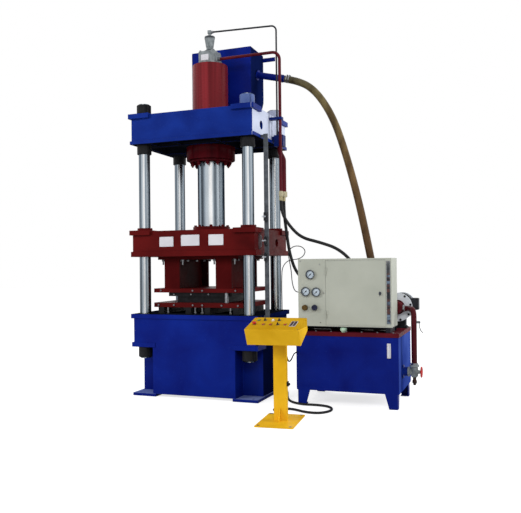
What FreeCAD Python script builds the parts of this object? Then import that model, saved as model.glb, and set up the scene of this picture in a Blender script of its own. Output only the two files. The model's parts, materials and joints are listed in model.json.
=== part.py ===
import FreeCAD, Part
import math
import os

# Four-column hydraulic moulding press with its oil unit and push-button console.
# Millimetres. Origin on the floor under the ram's axis, X to the oil unit, Y to the back, Z up.

V = FreeCAD.Vector

# ---------------------------------------------------------------- fits and clearances
RUN_FIT = 0.05          # radial clearance of a shaft that turns or slides in its bore
SEAT_GAP = 0.3          # daylight between two pieces that only stand close
SMALL_SIDES = 8         # flats on small round pieces that repeat
PIPE_SIDES = 8          # flats on pipes and hoses
CABLE_SIDES = 5         # flats on cables
FINE_SIDES = 16         # flats on dials, the motor and column bores
BARREL_SIDES = 24       # flats on the cylinder and what fits it

# ---------------------------------------------------------------- columns
COLUMN_PITCH_X = 1300.0
COLUMN_PITCH_Y = 890.0
COLUMN_D = 130.0
COLUMN_TAIL = 12.0      # thread that stands past the bottom nut
COLUMN_HEAD = 10.0      # thread that stands past the top nut
NUT_D = 166.0
NUT_H = 120.0
LOCK_NUT_H = 107.0
NUT_SIDES = 12
NUT_SLOT_W = 24.0
NUT_SLOT_ANGLES = (45, 135, 225, 315)
NUT_SLOT_DEPTH = 9.0

# ---------------------------------------------------------------- bed
FOOT_T = 32.0
FOOT_W = 262.0
FOOT_INNER_X = 511.0
BED_W = 1510.0
BED_DEPTH = 1066.0
BED_CROSS_H = 582.0     # lower, cross-shaped part of the bed
BED_CORE_DEPTH = 620.0  # its depth between the corner recesses
BED_BOX_H = 276.0
BED_DECK_T = 50.0
BED_DECK_OVER_X = 32.0
BED_DECK_OVER_Y = 12.0
BED_LEDGE_T = 52.0      # plates over the recesses that the columns are bolted to
BED_LEDGE_OVER_X = 25.0
BED_LEDGE_OVER_Y = 7.0
BED_WALL = 35.0
ANCHOR_X = 1400.0
ANCHOR_Y = 960.0
ANCHOR_HOLE_D = 28.0

# ---------------------------------------------------------------- tooling
SPACER_H = 75.0
SPACER_W = 70.0
SPACER_XS = (-470.0, -120.0, 120.0, 470.0)
LOWER_PLATE_T = 52.0
DIE_PLATE_W = 1124.0
DIE_PLATE_DEPTH = 800.0
LOWER_MOULD_H = 33.0
MOULD_W = 610.0
MOULD_DEPTH = 600.0
UPPER_MOULD_H = 40.0
CLAMP_PLATE_W = 800.0
CLAMP_PLATE_DEPTH = 680.0
CLAMP_PLATE_T = 44.0
UPPER_PLATE_T = 47.0
RISER_H = 334.0
RISER_FLANGE_W = 194.0
RISER_FLANGE_T = 30.0
RISER_WEB_T = 40.0
RISER_X = 325.0         # middle of each riser's web
RISER_TOP_W = 1014.0
RISER_TOP_T = 35.0
PIN_D = 44.0
PIN_X = 345.0
PIN_Y = 365.0
PIN_H = 158.0

# ---------------------------------------------------------------- slide
SLIDE_W = 1510.0
SLIDE_DEPTH = 1086.0
SLIDE_SOLE_T = 60.0
SLIDE_SOLE_OVER_X = 21.0
SLIDE_SOLE_OVER_Y = 10.0
SLIDE_BODY_H = 235.0
SLIDE_SKIN_T = 40.0
SLIDE_RIB_T = 30.0
SLIDE_HOLE_D = 95.0
SLIDE_HOLE_Y = 190.0
SLIDE_HOLE_DROP = 145.0
BUSH_TUBE_D = 150.0
BUSH_TUBE_L = 200.0
BUSH_FLANGE_D = 175.0
BUSH_FLANGE_T = 28.0

# ---------------------------------------------------------------- corner pads of slide and crown
PAD_W = 264.0
PAD_DEPTH = 260.0
PAD_T = 55.0
PAD_RISE = 10.0
PAD_OVER_X = 26.0
PAD_OVER_Y = 34.0

# ---------------------------------------------------------------- crown
CROWN_Z = 2902.0        # underside of the crown above the floor
CROWN_W = 1504.0
CROWN_DEPTH = 1116.0
CROWN_H = 338.0
CROWN_SOLE_T = 38.0
CROWN_SOLE_OVER_X = 18.0
CROWN_SOLE_OVER_Y = 10.0
CROWN_SKIN_T = 40.0
CROWN_ROOF_T = 50.0
CROWN_RIB_T = 40.0
CROWN_RIB_X = 250.0
CROWN_RIB_Y = 250.0
CROWN_HOLE_D = 98.0
CROWN_HOLE_Y = 282.0
CROWN_HOLE_Z = 158.0

# ---------------------------------------------------------------- cylinder and ram
BARREL_D = 425.0
BARREL_ABOVE = 640.0
BARREL_CAP_T = 90.0
BORE_D = 340.0
CYL_FLANGE_D = 577.0
CYL_FLANGE_H = 160.0
GLAND_D = 503.0
GLAND_T = 27.0
GLAND_SPIGOT_H = 80.0
GLAND_PCD = 446.0
GLAND_BOLTS = 12
GLAND_BOLT_D = 44.0
GLAND_BOLT_H = 46.0
RAM_D = 320.0
RAM_L = 1255.0
PISTON_H = 150.0
RAM_FLANGE_D = 440.0
RAM_FLANGE_T = 57.0
RAM_FLANGE_PCD = 382.0
RAM_FLANGE_BOLTS = 8

# ---------------------------------------------------------------- prefill valve and tank
VALVE_W = 210.0
VALVE_H = 162.0
VALVE_NECK_D = 84.0
VALVE_HEAD_D = 120.0
VALVE_CAP_D = 125.0
VALVE_FOOT_D = 147.0
VALVE_STEM_D = 32.0
VALVE_FOOT_H = 18.0     # the tower's steps, measured up from the valve's body
VALVE_NECK_H = 68.0
VALVE_HEAD_H = 168.0
VALVE_CAP_H = 193.0
VALVE_TOWER_H = 230.0
THROAT_D = 120.0
ELBOW_W = 44.0
ELBOW_H = 40.0
PREFILL_X0 = -350.0
PREFILL_X1 = 434.0
PREFILL_Y0 = 230.0
PREFILL_Y1 = 665.0
PREFILL_H = 901.0
PREFILL_WALL = 6.0
PREFILL_FOOT_Y = 540.0  # rear edge of the tank's foot
PREFILL_FOOT_H = 90.0
PREFILL_SLOPE_H = 300.0
LUG_L = 166.0
LUG_T = 12.0
LUG_H = 50.0
LUG_DROP = 60.0
OUTLET_START = V(434, 450, 3845)
OUTLET_END = V(796, 450, 3758)
OUTLET_D = 80.0

# ---------------------------------------------------------------- pipes beside the press
PILOT_D = 20.0
PILOT_OUT = 63.0        # pipes' middles, measured out from the crown's side
PILOT_X = CROWN_W / 2 + PILOT_OUT
PILOT_Y = 80.0
THIN_PIPE_D = 35.0
THIN_PIPE_OUT = 126.0
THIN_PIPE_X = CROWN_W / 2 + THIN_PIPE_OUT
THIN_PIPE_Y = 5.0
THIN_PIPE_Z = 3955.0
THICK_PIPE_D = 60.0
THICK_PIPE_OUT = 130.0
THICK_PIPE_X = CROWN_W / 2 + THICK_PIPE_OUT
THICK_PIPE_Y = 100.0
PIPE_END_Z = 2340.0
PIPE_NUT_H = 110.0
HEX_H = 60.0
THIN_NUT_W = 46.0
THICK_NUT_W = 74.0
STRAP_GAP = 1.0
STRAP_DROP = 60.0
STRAP_W = 60.0
STRAP_H = 30.0
BRACKET_H = 40.0
BLOCK_OUT = 33.0
BLOCK_W = 110.0
BLOCK_X0 = CROWN_W / 2 + BLOCK_OUT
BLOCK_X1 = BLOCK_X0 + BLOCK_W
BLOCK_Y0 = 45.0
BLOCK_Y1 = 150.0
BLOCK_Z0 = 2870.0
BLOCK_Z1 = 3000.0

# ---------------------------------------------------------------- limit rail
RAIL_OUT = 39.0         # rail's middle, measured out from the widest of deck and pads
RAIL_X = max(BED_W / 2 + BED_DECK_OVER_X, CROWN_W / 2 + PAD_OVER_X, SLIDE_W / 2 + PAD_OVER_X) + RAIL_OUT
RAIL_Y = -345.0
RAIL_W = 50.0
RAIL_T = 12.0
RAIL_Z0 = 900.0
RAIL_Z1 = 2945.0
CONDUIT_D = 16.0
SWITCH_ZS = (1580.0, 1760.0, 2026.0)
SWITCH_W = 40.0
SWITCH_T = 36.0
SWITCH_H = 92.0
LEVER_REACH = 25.0
LEVER_ROLLER_D = 20.0
DOG_CLEAR = 2.5
DOG_RAMP = 33.5

# ---------------------------------------------------------------- oil tank and its cover
TANK_X0 = 1177.0
TANK_X1 = 2267.0
TANK_Y = 415.0
TANK_Z0 = 155.0
TANK_WALL = 8.0
COVER_Z = 778.0
LEVEL_X = 2189.0        # right edge of the level gauge
LEVEL_W = 39.0
LEVEL_T = 16.0
LEVEL_Z = 523.0
LEVEL_H = 152.0
FILLER_X = 1690.0
FILLER_Y = -385.0
FILLER_D = 68.0
FILLER_H = 50.0
FILLER_NECK_D = 48.0
FILLER_NECK_H = 14.0
HOSE_FLANGE_D = 150.0
HOSE_FLANGE_T = 16.0
COVER_T = 10.0
COVER_OVER = 7.0
COVER_SKIRT = 43.0
LEG_TOP_W = 132.0
LEG_FOOT_W = 88.0
LEG_DEPTH = 100.0
LEG_T = 12.0

# ---------------------------------------------------------------- control cabinet
CAB_X0 = 1205.0
CAB_X1 = 2203.0
CAB_Y0 = -415.0
CAB_Y1 = -65.0
CAB_Z0 = 830.0
CAB_Z1 = 1552.0
CAB_WALL = 4.0
DOOR_X0 = 1509.0
DOOR_X1 = 2141.0
DOOR_Z0 = 850.0
DOOR_Z1 = 1532.0
DOOR_T = 18.0
DOOR_GAP = 2.0
HINGE_R = 6.7
HINGE_PIN_R = 3.0
HINGE_LEN = 40.0
HINGE_ZS = (960.0, 1420.0)
GAUGE_D = 98.0
GAUGE_DEPTH = 26.0
GAUGE_PLACES = ((1344.0, 1386.0), (1292.0, 1204.0), (1408.0, 1199.0))
KNOB_D = 62.0
KNOB_LOBES = 10
KNOB_LOBE_DEPTH = 3.0
KNOB_PLACES = ((1284.0, 1033.0), (1390.0, 1034.0))
LOCK_X = 2085.0
LOCK_Z = 1187.0
LOCK_REACH = 50.0       # the cam lies behind the frame when the lock is turned

# ---------------------------------------------------------------- motor and pump
MOTOR_X = 2190.0
MOTOR_Z = 1020.0
BELL_D = 310.0
BELL_Y = 42.0           # front face of the bell housing's plate
BELL_T = 18.0
BELL_L = 108.0
BELL_TUBE_D = 240.0
MOTOR_L = 285.0
MOTOR_D = 256.0
MOTOR_FIN_H = 16.0
MOTOR_FINS = 16
STATOR_D = 152.0
SHAFT_D = 38.0
PUMP_D = 130.0
PUMP_L = 97.0
PUMP_SHAFT_D = 24.0

# ---------------------------------------------------------------- suction line of the tank
SUCTION_X = 2392.0
SUCTION_Y = -185.0
SUCTION_Z = 1010.0
SUCTION_D = 58.0
GATE_Z = 362.0
TAP_Z = 880.0
WHEEL_D = 112.0

# ---------------------------------------------------------------- valve manifold
MANIFOLD_X0 = 1400.0
MANIFOLD_X1 = 1840.0
MANIFOLD_Y0 = 0.0
MANIFOLD_Y1 = 120.0
MANIFOLD_Z0 = 880.0
MANIFOLD_Z1 = 1000.0
PORT_A = V(1440, 60, 1040)
PORT_B = V(1800, 60, 1040)

# ---------------------------------------------------------------- console
CONSOLE_X = 1271.8
CONSOLE_Y = -1240.5
CONSOLE_TURN = 5.3
CONSOLE_W = 511.0
CONSOLE_FRONT = (-322.0, 904.0)      # profile in the box's own y and z
CONSOLE_TOP = (65.0, 983.0)
CONSOLE_BACK = (87.0, 862.0)
CONSOLE_CHIN = (-231.0, 751.5)
CONSOLE_WALL = 3.0
CONSOLE_BASE_W = 367.0
CONSOLE_BASE_DEPTH = 554.5
CONSOLE_BASE_T = 12.0
POST_W = 124.0
POST_Y0 = -10.0
POST_Y1 = 60.0
STEM_D = 22.0
BEZEL_D = 31.0
BEZEL_H = 5.0
ROW_NEAR = 155.0        # distance of each row of buttons from the panel's lower edge
ROW_FAR = 290.0

# ---------------------------------------------------------------- hoses and cables
SUCTION_HOSE_D = 88.0
HOSE_D = 36.0
SWITCH_CABLE_D = 10.0
CONSOLE_CABLE_D = 14.0
FLOOR_CONDUIT_D = 26.0
CONDUIT_GLAND_Y = 120.0  # gland on the bed's right side
CONDUIT_GLAND_Z = 62.0
CONDUIT_GLAND_L = 20.0
HOSE_FLANGE_X = 1930.0
HOSE_FLANGE_Y = 200.0
HOSE_FLANGE_H = 82.0

# ---------------------------------------------------------------- levels that follow from the sizes
ledge_top = FOOT_T + BED_CROSS_H
deck_top = ledge_top + BED_BOX_H + BED_DECK_T
lower_plate_z = deck_top + SPACER_H
lower_mould_z = lower_plate_z + LOWER_PLATE_T
upper_mould_z = lower_mould_z + LOWER_MOULD_H + SEAT_GAP
upper_plate_z = upper_mould_z + UPPER_MOULD_H + CLAMP_PLATE_T
riser_z = upper_plate_z + UPPER_PLATE_T
slide_z = riser_z + RISER_H + RISER_TOP_T
slide_top = slide_z + SLIDE_SOLE_T + SLIDE_BODY_H
crown_top = CROWN_Z + CROWN_H
barrel_top = crown_top + BARREL_ABOVE
column_x = COLUMN_PITCH_X / 2
column_y = COLUMN_PITCH_Y / 2
column_bottom = ledge_top - BED_LEDGE_T - NUT_H - COLUMN_TAIL
column_top = crown_top + PAD_RISE + NUT_H + COLUMN_HEAD
corners = [(sx * column_x, sy * column_y) for sx in (-1, 1) for sy in (-1, 1)]
panel_rise = CONSOLE_TOP[1] - CONSOLE_FRONT[1]
panel_run = CONSOLE_TOP[0] - CONSOLE_FRONT[0]
panel_tilt = math.degrees(math.atan2(panel_rise, panel_run))
pilot_turn = math.degrees(math.atan2(PILOT_Y, PILOT_X))


# ================================================================ helpers
def box(x0, x1, y0, y1, z0, z1):
    return Part.makeBox(x1 - x0, y1 - y0, z1 - z0, V(x0, y0, z0))


def centred_box(w, depth, z0, z1):
    return box(-w / 2, w / 2, -depth / 2, depth / 2, z0, z1)


def cylinder(d, start, end):
    axis = end - start
    return Part.makeCylinder(d / 2, axis.Length, start, axis)


def upright(d, x, y, z0, z1):
    return cylinder(d, V(x, y, z0), V(x, y, z1))


def prism(points, direction):
    """Straight extrusion of a closed outline."""
    return Part.Face(Part.makePolygon(points + points[:1])).extrude(direction)


def ring_points(r, h, origin, axis, sides):
    """Corners of a flat-sided ring about an axis, at height h above origin."""
    z = V(axis).normalize()
    x = V(1, 0, 0) if abs(z.x) < 0.9 else V(0, 1, 0)
    x = (x - z * x.dot(z)).normalize()
    y = z.cross(x)
    turns = [2 * math.pi * (i + 0.5) / sides for i in range(sides)]
    return [origin + z * h + x * (r * math.cos(t)) + y * (r * math.sin(t)) for t in turns]


def faceted(profile, origin, axis, sides):
    """Flat-sided stand-in for a turned piece, from (radius, height) pairs about an axis through origin.

    The corners lie on the profile's radii; only its flat ends may reach the axis.
    """
    pairs = list(zip(profile, profile[1:]))
    if profile[0][0] > 0:
        pairs.append((profile[-1], profile[0]))
    faces = []
    for (r0, h0), (r1, h1) in pairs:
        if r0 == 0 and r1 == 0:
            continue
        loops = [ring_points(r, h, origin, axis, sides) for r, h in ((r0, h0), (r1, h1)) if r > 0]
        wires = [Part.makePolygon(loop + loop[:1]) for loop in loops]
        if h0 == h1:
            wires.sort(key=lambda wire: -wire.BoundBox.DiagonalLength)
            faces.append(Part.Face(wires[0]) if len(wires) == 1 else Part.Face(wires[0]).cut(Part.Face(wires[1])))
            continue
        low, high = loops
        for i in range(sides):
            j = (i + 1) % sides
            faces.append(Part.Face(Part.makePolygon([low[i], low[j], high[j], high[i], low[i]])))
    sewn = Part.makeCompound(faces)
    sewn.sewShape()
    solid = Part.Solid(sewn.Shells[0])
    if solid.Volume < 0:
        solid.reverse()
    return solid


def rod(d, start, end, sides=SMALL_SIDES):
    """Flat-sided stand-in for a small round bar, its corners on the diameter."""
    length = (end - start).Length
    return faceted([(0, 0), (d / 2, 0), (d / 2, length), (0, length)], start, end - start, sides)


def bored(r, sides):
    """Corner radius of a flat-sided bore whose flats lie on radius r."""
    return r / math.cos(math.pi / sides)


def rod_hole(d, start, end, sides=SMALL_SIDES):
    """Tool for a hole that a round bar of diameter d turns in: its flats lie on the diameter."""
    return rod(bored(d, sides), start, end, sides)


def union(shapes):
    first = shapes[0]
    return first.multiFuse(shapes[1:]).removeSplitter() if len(shapes) > 1 else first


def less(shape, tools):
    return shape.cut(Part.makeCompound(tools))


def group(shapes):
    return Part.makeCompound(shapes)


def hexagon(width, start, end):
    """Hexagonal bar across flats `width` from start to end."""
    z = (end - start).normalize()
    x = V(1, 0, 0) if abs(z.x) < 0.9 else V(0, 1, 0)
    x = (x - z * x.dot(z)).normalize()
    y = z.cross(x)
    r = width / math.sqrt(3)
    turns = [math.radians(60 * i) for i in range(6)]
    return prism([start + x * (r * math.cos(t)) + y * (r * math.sin(t)) for t in turns], end - start)


def ring_of(count, pcd, first=0.0):
    turns = [first + 2 * math.pi * i / count for i in range(count)]
    return [(pcd / 2 * math.cos(t), pcd / 2 * math.sin(t)) for t in turns]


def bent_path(points, bend=None, label=""):
    """Straight runs joined by tangent arcs. Without `bend`, each arc is as large as its two runs allow."""
    edges = []
    radii = []
    at = points[0]
    for before, corner, after in zip(points, points[1:], points[2:]):
        back = (before - corner)
        ahead = (after - corner)
        half_turn = (math.pi - back.getAngle(ahead)) / 2
        reach = 0.45 * min(back.Length, ahead.Length)
        if bend is not None:
            reach = bend * math.tan(half_turn)
        radius = reach / math.tan(half_turn)
        radii.append(radius)
        start = corner + back.normalize() * reach
        end = corner + ahead.normalize() * reach
        inward = (back + ahead).normalize()
        middle = corner + inward * (radius / math.cos(half_turn) - radius)
        edges.append(Part.LineSegment(at, start).toShape())
        edges.append(Part.Arc(start, middle, end).toShape())
        at = end
    edges.append(Part.LineSegment(at, points[-1]).toShape())
    if label:
        print(label, "radii mm:", [round(r) for r in radii])
    return Part.Wire(edges)


def tube(points, d, sides, bend=None, label=""):
    """Flat-sided bar along a bent path, of a round bar's section area; its volume is compared with area times length."""
    path = bent_path(points, bend, label)
    area = math.pi * d * d / 4
    corner_r = math.sqrt(2 * area / (sides * math.sin(2 * math.pi / sides)))
    loop = ring_points(corner_r, 0, points[0], points[1] - points[0], sides)
    solid = path.makePipeShell([Part.makePolygon(loop + loop[:1])], True, False)
    expected = area * path.Length
    if abs(solid.Volume / expected - 1) > 0.01:
        print("tube volume is off:", label, solid.Volume, expected)
    if label:
        print(label, "length mm:", round(path.Length), "volume ratio:", round(solid.Volume / expected, 4))
    return solid


def on_console(shape):
    """Place a shape modelled in the console's own axes."""
    placed = shape.copy()
    placed.rotate(V(0, 0, 0), V(0, 0, 1), CONSOLE_TURN)
    placed.translate(V(CONSOLE_X, CONSOLE_Y, 0))
    return placed


def on_panel(shape, across, along):
    """Place a shape whose own +Z is the panel's outward normal."""
    placed = shape.copy()
    placed.rotate(V(0, 0, 0), V(1, 0, 0), panel_tilt)
    t = math.radians(panel_tilt)
    placed.translate(V(across, CONSOLE_FRONT[0] + along * math.cos(t), CONSOLE_FRONT[1] + along * math.sin(t)))
    return on_console(placed)


def corner_pads(half_w, half_depth, top):
    """Four blocks that carry the nuts or bushes and stand past the faces."""
    x1 = half_w + PAD_OVER_X
    y1 = half_depth + PAD_OVER_Y
    pads = []
    for sx in (-1, 1):
        for sy in (-1, 1):
            xs = sorted((sx * x1, sx * (x1 - PAD_W)))
            ys = sorted((sy * y1, sy * (y1 - PAD_DEPTH)))
            pads.append(box(xs[0], xs[1], ys[0], ys[1], top + PAD_RISE - PAD_T, top + PAD_RISE))
    return pads


def skin_holes(d, half_w, skin, y, z):
    """Round lifting holes through both end walls, two in each."""
    return [rod(d, V(t * (half_w - skin - 1), s * y, z), V(t * (half_w + 1), s * y, z), FINE_SIDES)
            for s in (-1, 1) for t in (-1, 1)]


def column_holes(d, z0, z1):
    return [rod_hole(d, V(x, y, z0), V(x, y, z1), FINE_SIDES) for x, y in corners]


# ================================================================ press frame
def bed_frame():
    foot_outer = FOOT_INNER_X + FOOT_W
    foot_root = FOOT_INNER_X - BED_WALL
    feet = [box(x0, x1, -BED_DEPTH / 2, BED_DEPTH / 2, 0, FOOT_T)
            for x0, x1 in ((-foot_outer, -foot_root), (foot_root, foot_outer))]
    tongue = centred_box(2 * FOOT_INNER_X, BED_DEPTH, FOOT_T, ledge_top)
    core = centred_box(BED_W, BED_CORE_DEPTH, FOOT_T, ledge_top)
    upper = centred_box(BED_W, BED_DEPTH, ledge_top, ledge_top + BED_BOX_H)
    deck = centred_box(BED_W + 2 * BED_DECK_OVER_X, BED_DEPTH + 2 * BED_DECK_OVER_Y,
                       ledge_top + BED_BOX_H, deck_top)
    ledges = []
    for sx in (-1, 1):
        for sy in (-1, 1):
            xs = sorted((sx * (FOOT_INNER_X - BED_WALL), sx * (BED_W / 2 + BED_LEDGE_OVER_X)))
            ys = sorted((sy * (BED_CORE_DEPTH / 2 - BED_WALL), sy * (BED_DEPTH / 2 + BED_LEDGE_OVER_Y)))
            ledges.append(box(xs[0], xs[1], ys[0], ys[1], ledge_top - BED_LEDGE_T, ledge_top))
    gland = rod(FLOOR_CONDUIT_D + 10, V(BED_W / 2 - 5, CONDUIT_GLAND_Y, CONDUIT_GLAND_Z),
                     V(BED_W / 2 + CONDUIT_GLAND_L, CONDUIT_GLAND_Y, CONDUIT_GLAND_Z))
    body = union(feet + [tongue, core, upper, deck, gland] + ledges)
    # cells between the ribs, open to the floor
    inner_x = FOOT_INNER_X - BED_WALL
    inner_y = BED_DEPTH / 2 - BED_WALL
    roof = ledge_top + BED_BOX_H - BED_WALL / 2
    rib = BED_WALL / 2
    x_cells = ((-inner_x, -inner_x / 3 - rib), (-inner_x / 3 + rib, inner_x / 3 - rib), (inner_x / 3 + rib, inner_x))
    y_cells = ((-inner_y, -inner_y / 3 - rib), (-inner_y / 3 + rib, inner_y / 3 - rib), (inner_y / 3 + rib, inner_y))
    cells = [box(x0, x1, y0, y1, -1, roof) for x0, x1 in x_cells for y0, y1 in y_cells]
    side_in = FOOT_INNER_X
    side_out = BED_W / 2 - BED_WALL
    side_y = BED_CORE_DEPTH / 2 - BED_WALL
    cells += [box(-side_out, -side_in, -side_y, side_y, -1, roof), box(side_in, side_out, -side_y, side_y, -1, roof)]
    anchors = [upright(ANCHOR_HOLE_D, sx * ANCHOR_X / 2, sy * ANCHOR_Y / 2, -1, FOOT_T + 1)
               for sx in (-1, 1) for sy in (-1, 1)]
    holes = column_holes(COLUMN_D + 2 * SEAT_GAP, column_bottom, deck_top + 1)
    return less(body, cells + anchors + holes)


def columns():
    return group([upright(COLUMN_D, x, y, column_bottom, column_top) for x, y in corners])


def round_nut(x, y, z0, h, slot_angles=()):
    """Round nut on a column, with its spanner slots."""
    outer = NUT_D / 2
    inner = bored(COLUMN_D / 2 + RUN_FIT, NUT_SIDES)
    ring = faceted([(inner, 0), (outer, 0), (outer, h), (inner, h)], V(x, y, z0), V(0, 0, 1), NUT_SIDES)
    slot_in = outer - NUT_SLOT_DEPTH
    slots = [box(slot_in, outer + 1, -NUT_SLOT_W / 2, NUT_SLOT_W / 2, -1, h + 1) for angle in slot_angles]
    for slot, angle in zip(slots, slot_angles):
        slot.rotate(V(0, 0, 0), V(0, 0, 1), angle)
        slot.translate(V(x, y, z0))
    return less(ring, slots) if slots else ring


def column_nuts():
    nuts = []
    for x, y in corners:
        nuts.append(round_nut(x, y, crown_top + PAD_RISE, NUT_H, NUT_SLOT_ANGLES))
        nuts.append(round_nut(x, y, CROWN_Z - LOCK_NUT_H, LOCK_NUT_H))
        nuts.append(round_nut(x, y, ledge_top - BED_LEDGE_T - NUT_H, NUT_H))
    return group(nuts)


def crown_beam():
    sole_top = CROWN_Z + CROWN_SOLE_T
    sole = centred_box(CROWN_W + 2 * CROWN_SOLE_OVER_X, CROWN_DEPTH + 2 * CROWN_SOLE_OVER_Y, CROWN_Z, sole_top)
    shell = centred_box(CROWN_W, CROWN_DEPTH, CROWN_Z, crown_top)
    body = union([sole, shell] + corner_pads(CROWN_W / 2, CROWN_DEPTH / 2, crown_top))
    # nine cells between the ribs; the middle one holds the cylinder
    edge_x = CROWN_W / 2 - CROWN_SKIN_T
    edge_y = CROWN_DEPTH / 2 - CROWN_SKIN_T
    half = CROWN_RIB_T / 2
    x_cells = ((-edge_x, -CROWN_RIB_X - half), (-CROWN_RIB_X + half, CROWN_RIB_X - half), (CROWN_RIB_X + half, edge_x))
    y_cells = ((-edge_y, -CROWN_RIB_Y - half), (-CROWN_RIB_Y + half, CROWN_RIB_Y - half), (CROWN_RIB_Y + half, edge_y))
    cells = [box(x0, x1, y0, y1, sole_top, crown_top - CROWN_ROOF_T) for x0, x1 in x_cells for y0, y1 in y_cells]
    # windows in the sole: every cell but the middle one is open from below, short of the nuts
    nut_edge = column_x - NUT_D / 2 - BED_WALL
    window_y = CROWN_RIB_Y - half
    windows = []
    for s in (-1, 1):
        xs = sorted((s * (CROWN_RIB_X + half), s * edge_x))
        windows.append(box(xs[0], xs[1], -window_y, window_y, CROWN_Z - 1, sole_top + 1))
        ys = sorted((s * (CROWN_RIB_Y + CROWN_RIB_T), s * edge_y))
        windows.append(box(-window_y, window_y, ys[0], ys[1], CROWN_Z - 1, sole_top + 1))
        for t in (-1, 1):
            xs = sorted((t * (CROWN_RIB_X + half), t * nut_edge))
            windows.append(box(xs[0], xs[1], ys[0], ys[1], CROWN_Z - 1, sole_top + 1))
    lifting = skin_holes(CROWN_HOLE_D, CROWN_W / 2, CROWN_SKIN_T, CROWN_HOLE_Y, CROWN_Z + CROWN_HOLE_Z)
    bore = rod_hole(BARREL_D + 2 * SEAT_GAP, V(0, 0, CROWN_Z - 1), V(0, 0, crown_top + 1), BARREL_SIDES)
    holes = column_holes(COLUMN_D + 2 * SEAT_GAP, CROWN_Z - 1, crown_top + PAD_RISE + 1)
    return less(body, cells + windows + lifting + [bore] + holes)


# ================================================================ cylinder and ram
def cylinder_barrel():
    """Hollow barrel with its bolting flange under the crown and a closed, bored top."""
    base = CROWN_Z - CYL_FLANGE_H
    length = barrel_top - base
    ceiling = length - BARREL_CAP_T
    chamfer = 14.0
    port_r = VALVE_NECK_D / 2
    bore = bored(BORE_D / 2, BARREL_SIDES)
    profile = [(bore, 0), (CYL_FLANGE_D / 2, 0), (CYL_FLANGE_D / 2, CYL_FLANGE_H),
               (BARREL_D / 2, CYL_FLANGE_H), (BARREL_D / 2, length - chamfer),
               (BARREL_D / 2 - chamfer, length), (port_r, length), (port_r, ceiling), (bore, ceiling)]
    return faceted(profile, V(0, 0, base), V(0, 0, 1), BARREL_SIDES)


def cylinder_gland():
    """Gland ring with its guide spigot in the bore, and the bolts that hold it."""
    top = CROWN_Z - CYL_FLANGE_H
    inner = bored(RAM_D / 2 + RUN_FIT, BARREL_SIDES)
    spigot = BORE_D / 2 - RUN_FIT
    profile = [(inner, 0), (GLAND_D / 2, 0), (GLAND_D / 2, GLAND_T), (spigot, GLAND_T),
               (spigot, GLAND_T + GLAND_SPIGOT_H), (inner, GLAND_T + GLAND_SPIGOT_H)]
    ring = faceted(profile, V(0, 0, top - GLAND_T), V(0, 0, 1), BARREL_SIDES)
    z0 = top - GLAND_T - GLAND_BOLT_H
    bolts = [hexagon(GLAND_BOLT_D, V(x, y, z0), V(x, y, top - GLAND_T))
             for x, y in ring_of(GLAND_BOLTS, GLAND_PCD, math.pi / GLAND_BOLTS)]
    return group([ring] + bolts)


def ram():
    """Polished ram with its piston head inside the barrel."""
    r = RAM_D / 2
    piston = BORE_D / 2 - RUN_FIT
    profile = [(0, 0), (r, 0), (r, RAM_L - PISTON_H), (piston, RAM_L - PISTON_H), (piston, RAM_L), (0, RAM_L)]
    return faceted(profile, V(0, 0, slide_top), V(0, 0, 1), BARREL_SIDES)


def ram_flange():
    """Ring bolted to the slide round the ram's foot."""
    inner = bored(RAM_D / 2 + RUN_FIT, BARREL_SIDES)
    profile = [(inner, 0), (RAM_FLANGE_D / 2, 0), (RAM_FLANGE_D / 2, RAM_FLANGE_T), (inner, RAM_FLANGE_T)]
    ring = faceted(profile, V(0, 0, slide_top), V(0, 0, 1), BARREL_SIDES)
    top = slide_top + RAM_FLANGE_T
    bolts = [hexagon(30, V(x, y, top), V(x, y, top + 20))
             for x, y in ring_of(RAM_FLANGE_BOLTS, RAM_FLANGE_PCD, math.pi / RAM_FLANGE_BOLTS)]
    return group([ring] + bolts)


# ================================================================ slide and tooling
def slide_beam():
    sole = centred_box(SLIDE_W + 2 * SLIDE_SOLE_OVER_X, SLIDE_DEPTH + 2 * SLIDE_SOLE_OVER_Y,
                       slide_z, slide_z + SLIDE_SOLE_T)
    body = centred_box(SLIDE_W, SLIDE_DEPTH, slide_z, slide_top)
    whole = union([sole, body] + corner_pads(SLIDE_W / 2, SLIDE_DEPTH / 2, slide_top))
    # two channels along X stiffened by ribs, reached through the round side holes
    end_x = SLIDE_W / 2 - SLIDE_SKIN_T
    far_y = column_y - BUSH_TUBE_D / 2 - SLIDE_SKIN_T
    rib = SLIDE_RIB_T / 2
    rib_x = RAM_FLANGE_D / 2 + SLIDE_SKIN_T
    channels = []
    for s in (-1, 1):
        ys = sorted((s * rib, s * far_y))
        for x0, x1 in ((-end_x, -rib_x - rib), (-rib_x + rib, rib_x - rib), (rib_x + rib, end_x)):
            channels.append(box(x0, x1, ys[0], ys[1], slide_z + SLIDE_SOLE_T, slide_top - SLIDE_SKIN_T))
    post = centred_box(RAM_D, RAM_D, slide_z + SLIDE_SOLE_T, slide_top - SLIDE_SKIN_T)
    hollow = [Part.makeCompound(channels).cut(post)]
    hollow += skin_holes(SLIDE_HOLE_D, SLIDE_W / 2, SLIDE_SKIN_T, SLIDE_HOLE_Y, slide_top - SLIDE_HOLE_DROP)
    seats = [rod_hole(BUSH_TUBE_D + 2 * SEAT_GAP, V(x, y, slide_z - 1), V(x, y, slide_top + PAD_RISE + 1))
             for x, y in corners]
    return less(whole, hollow + seats)


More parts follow.
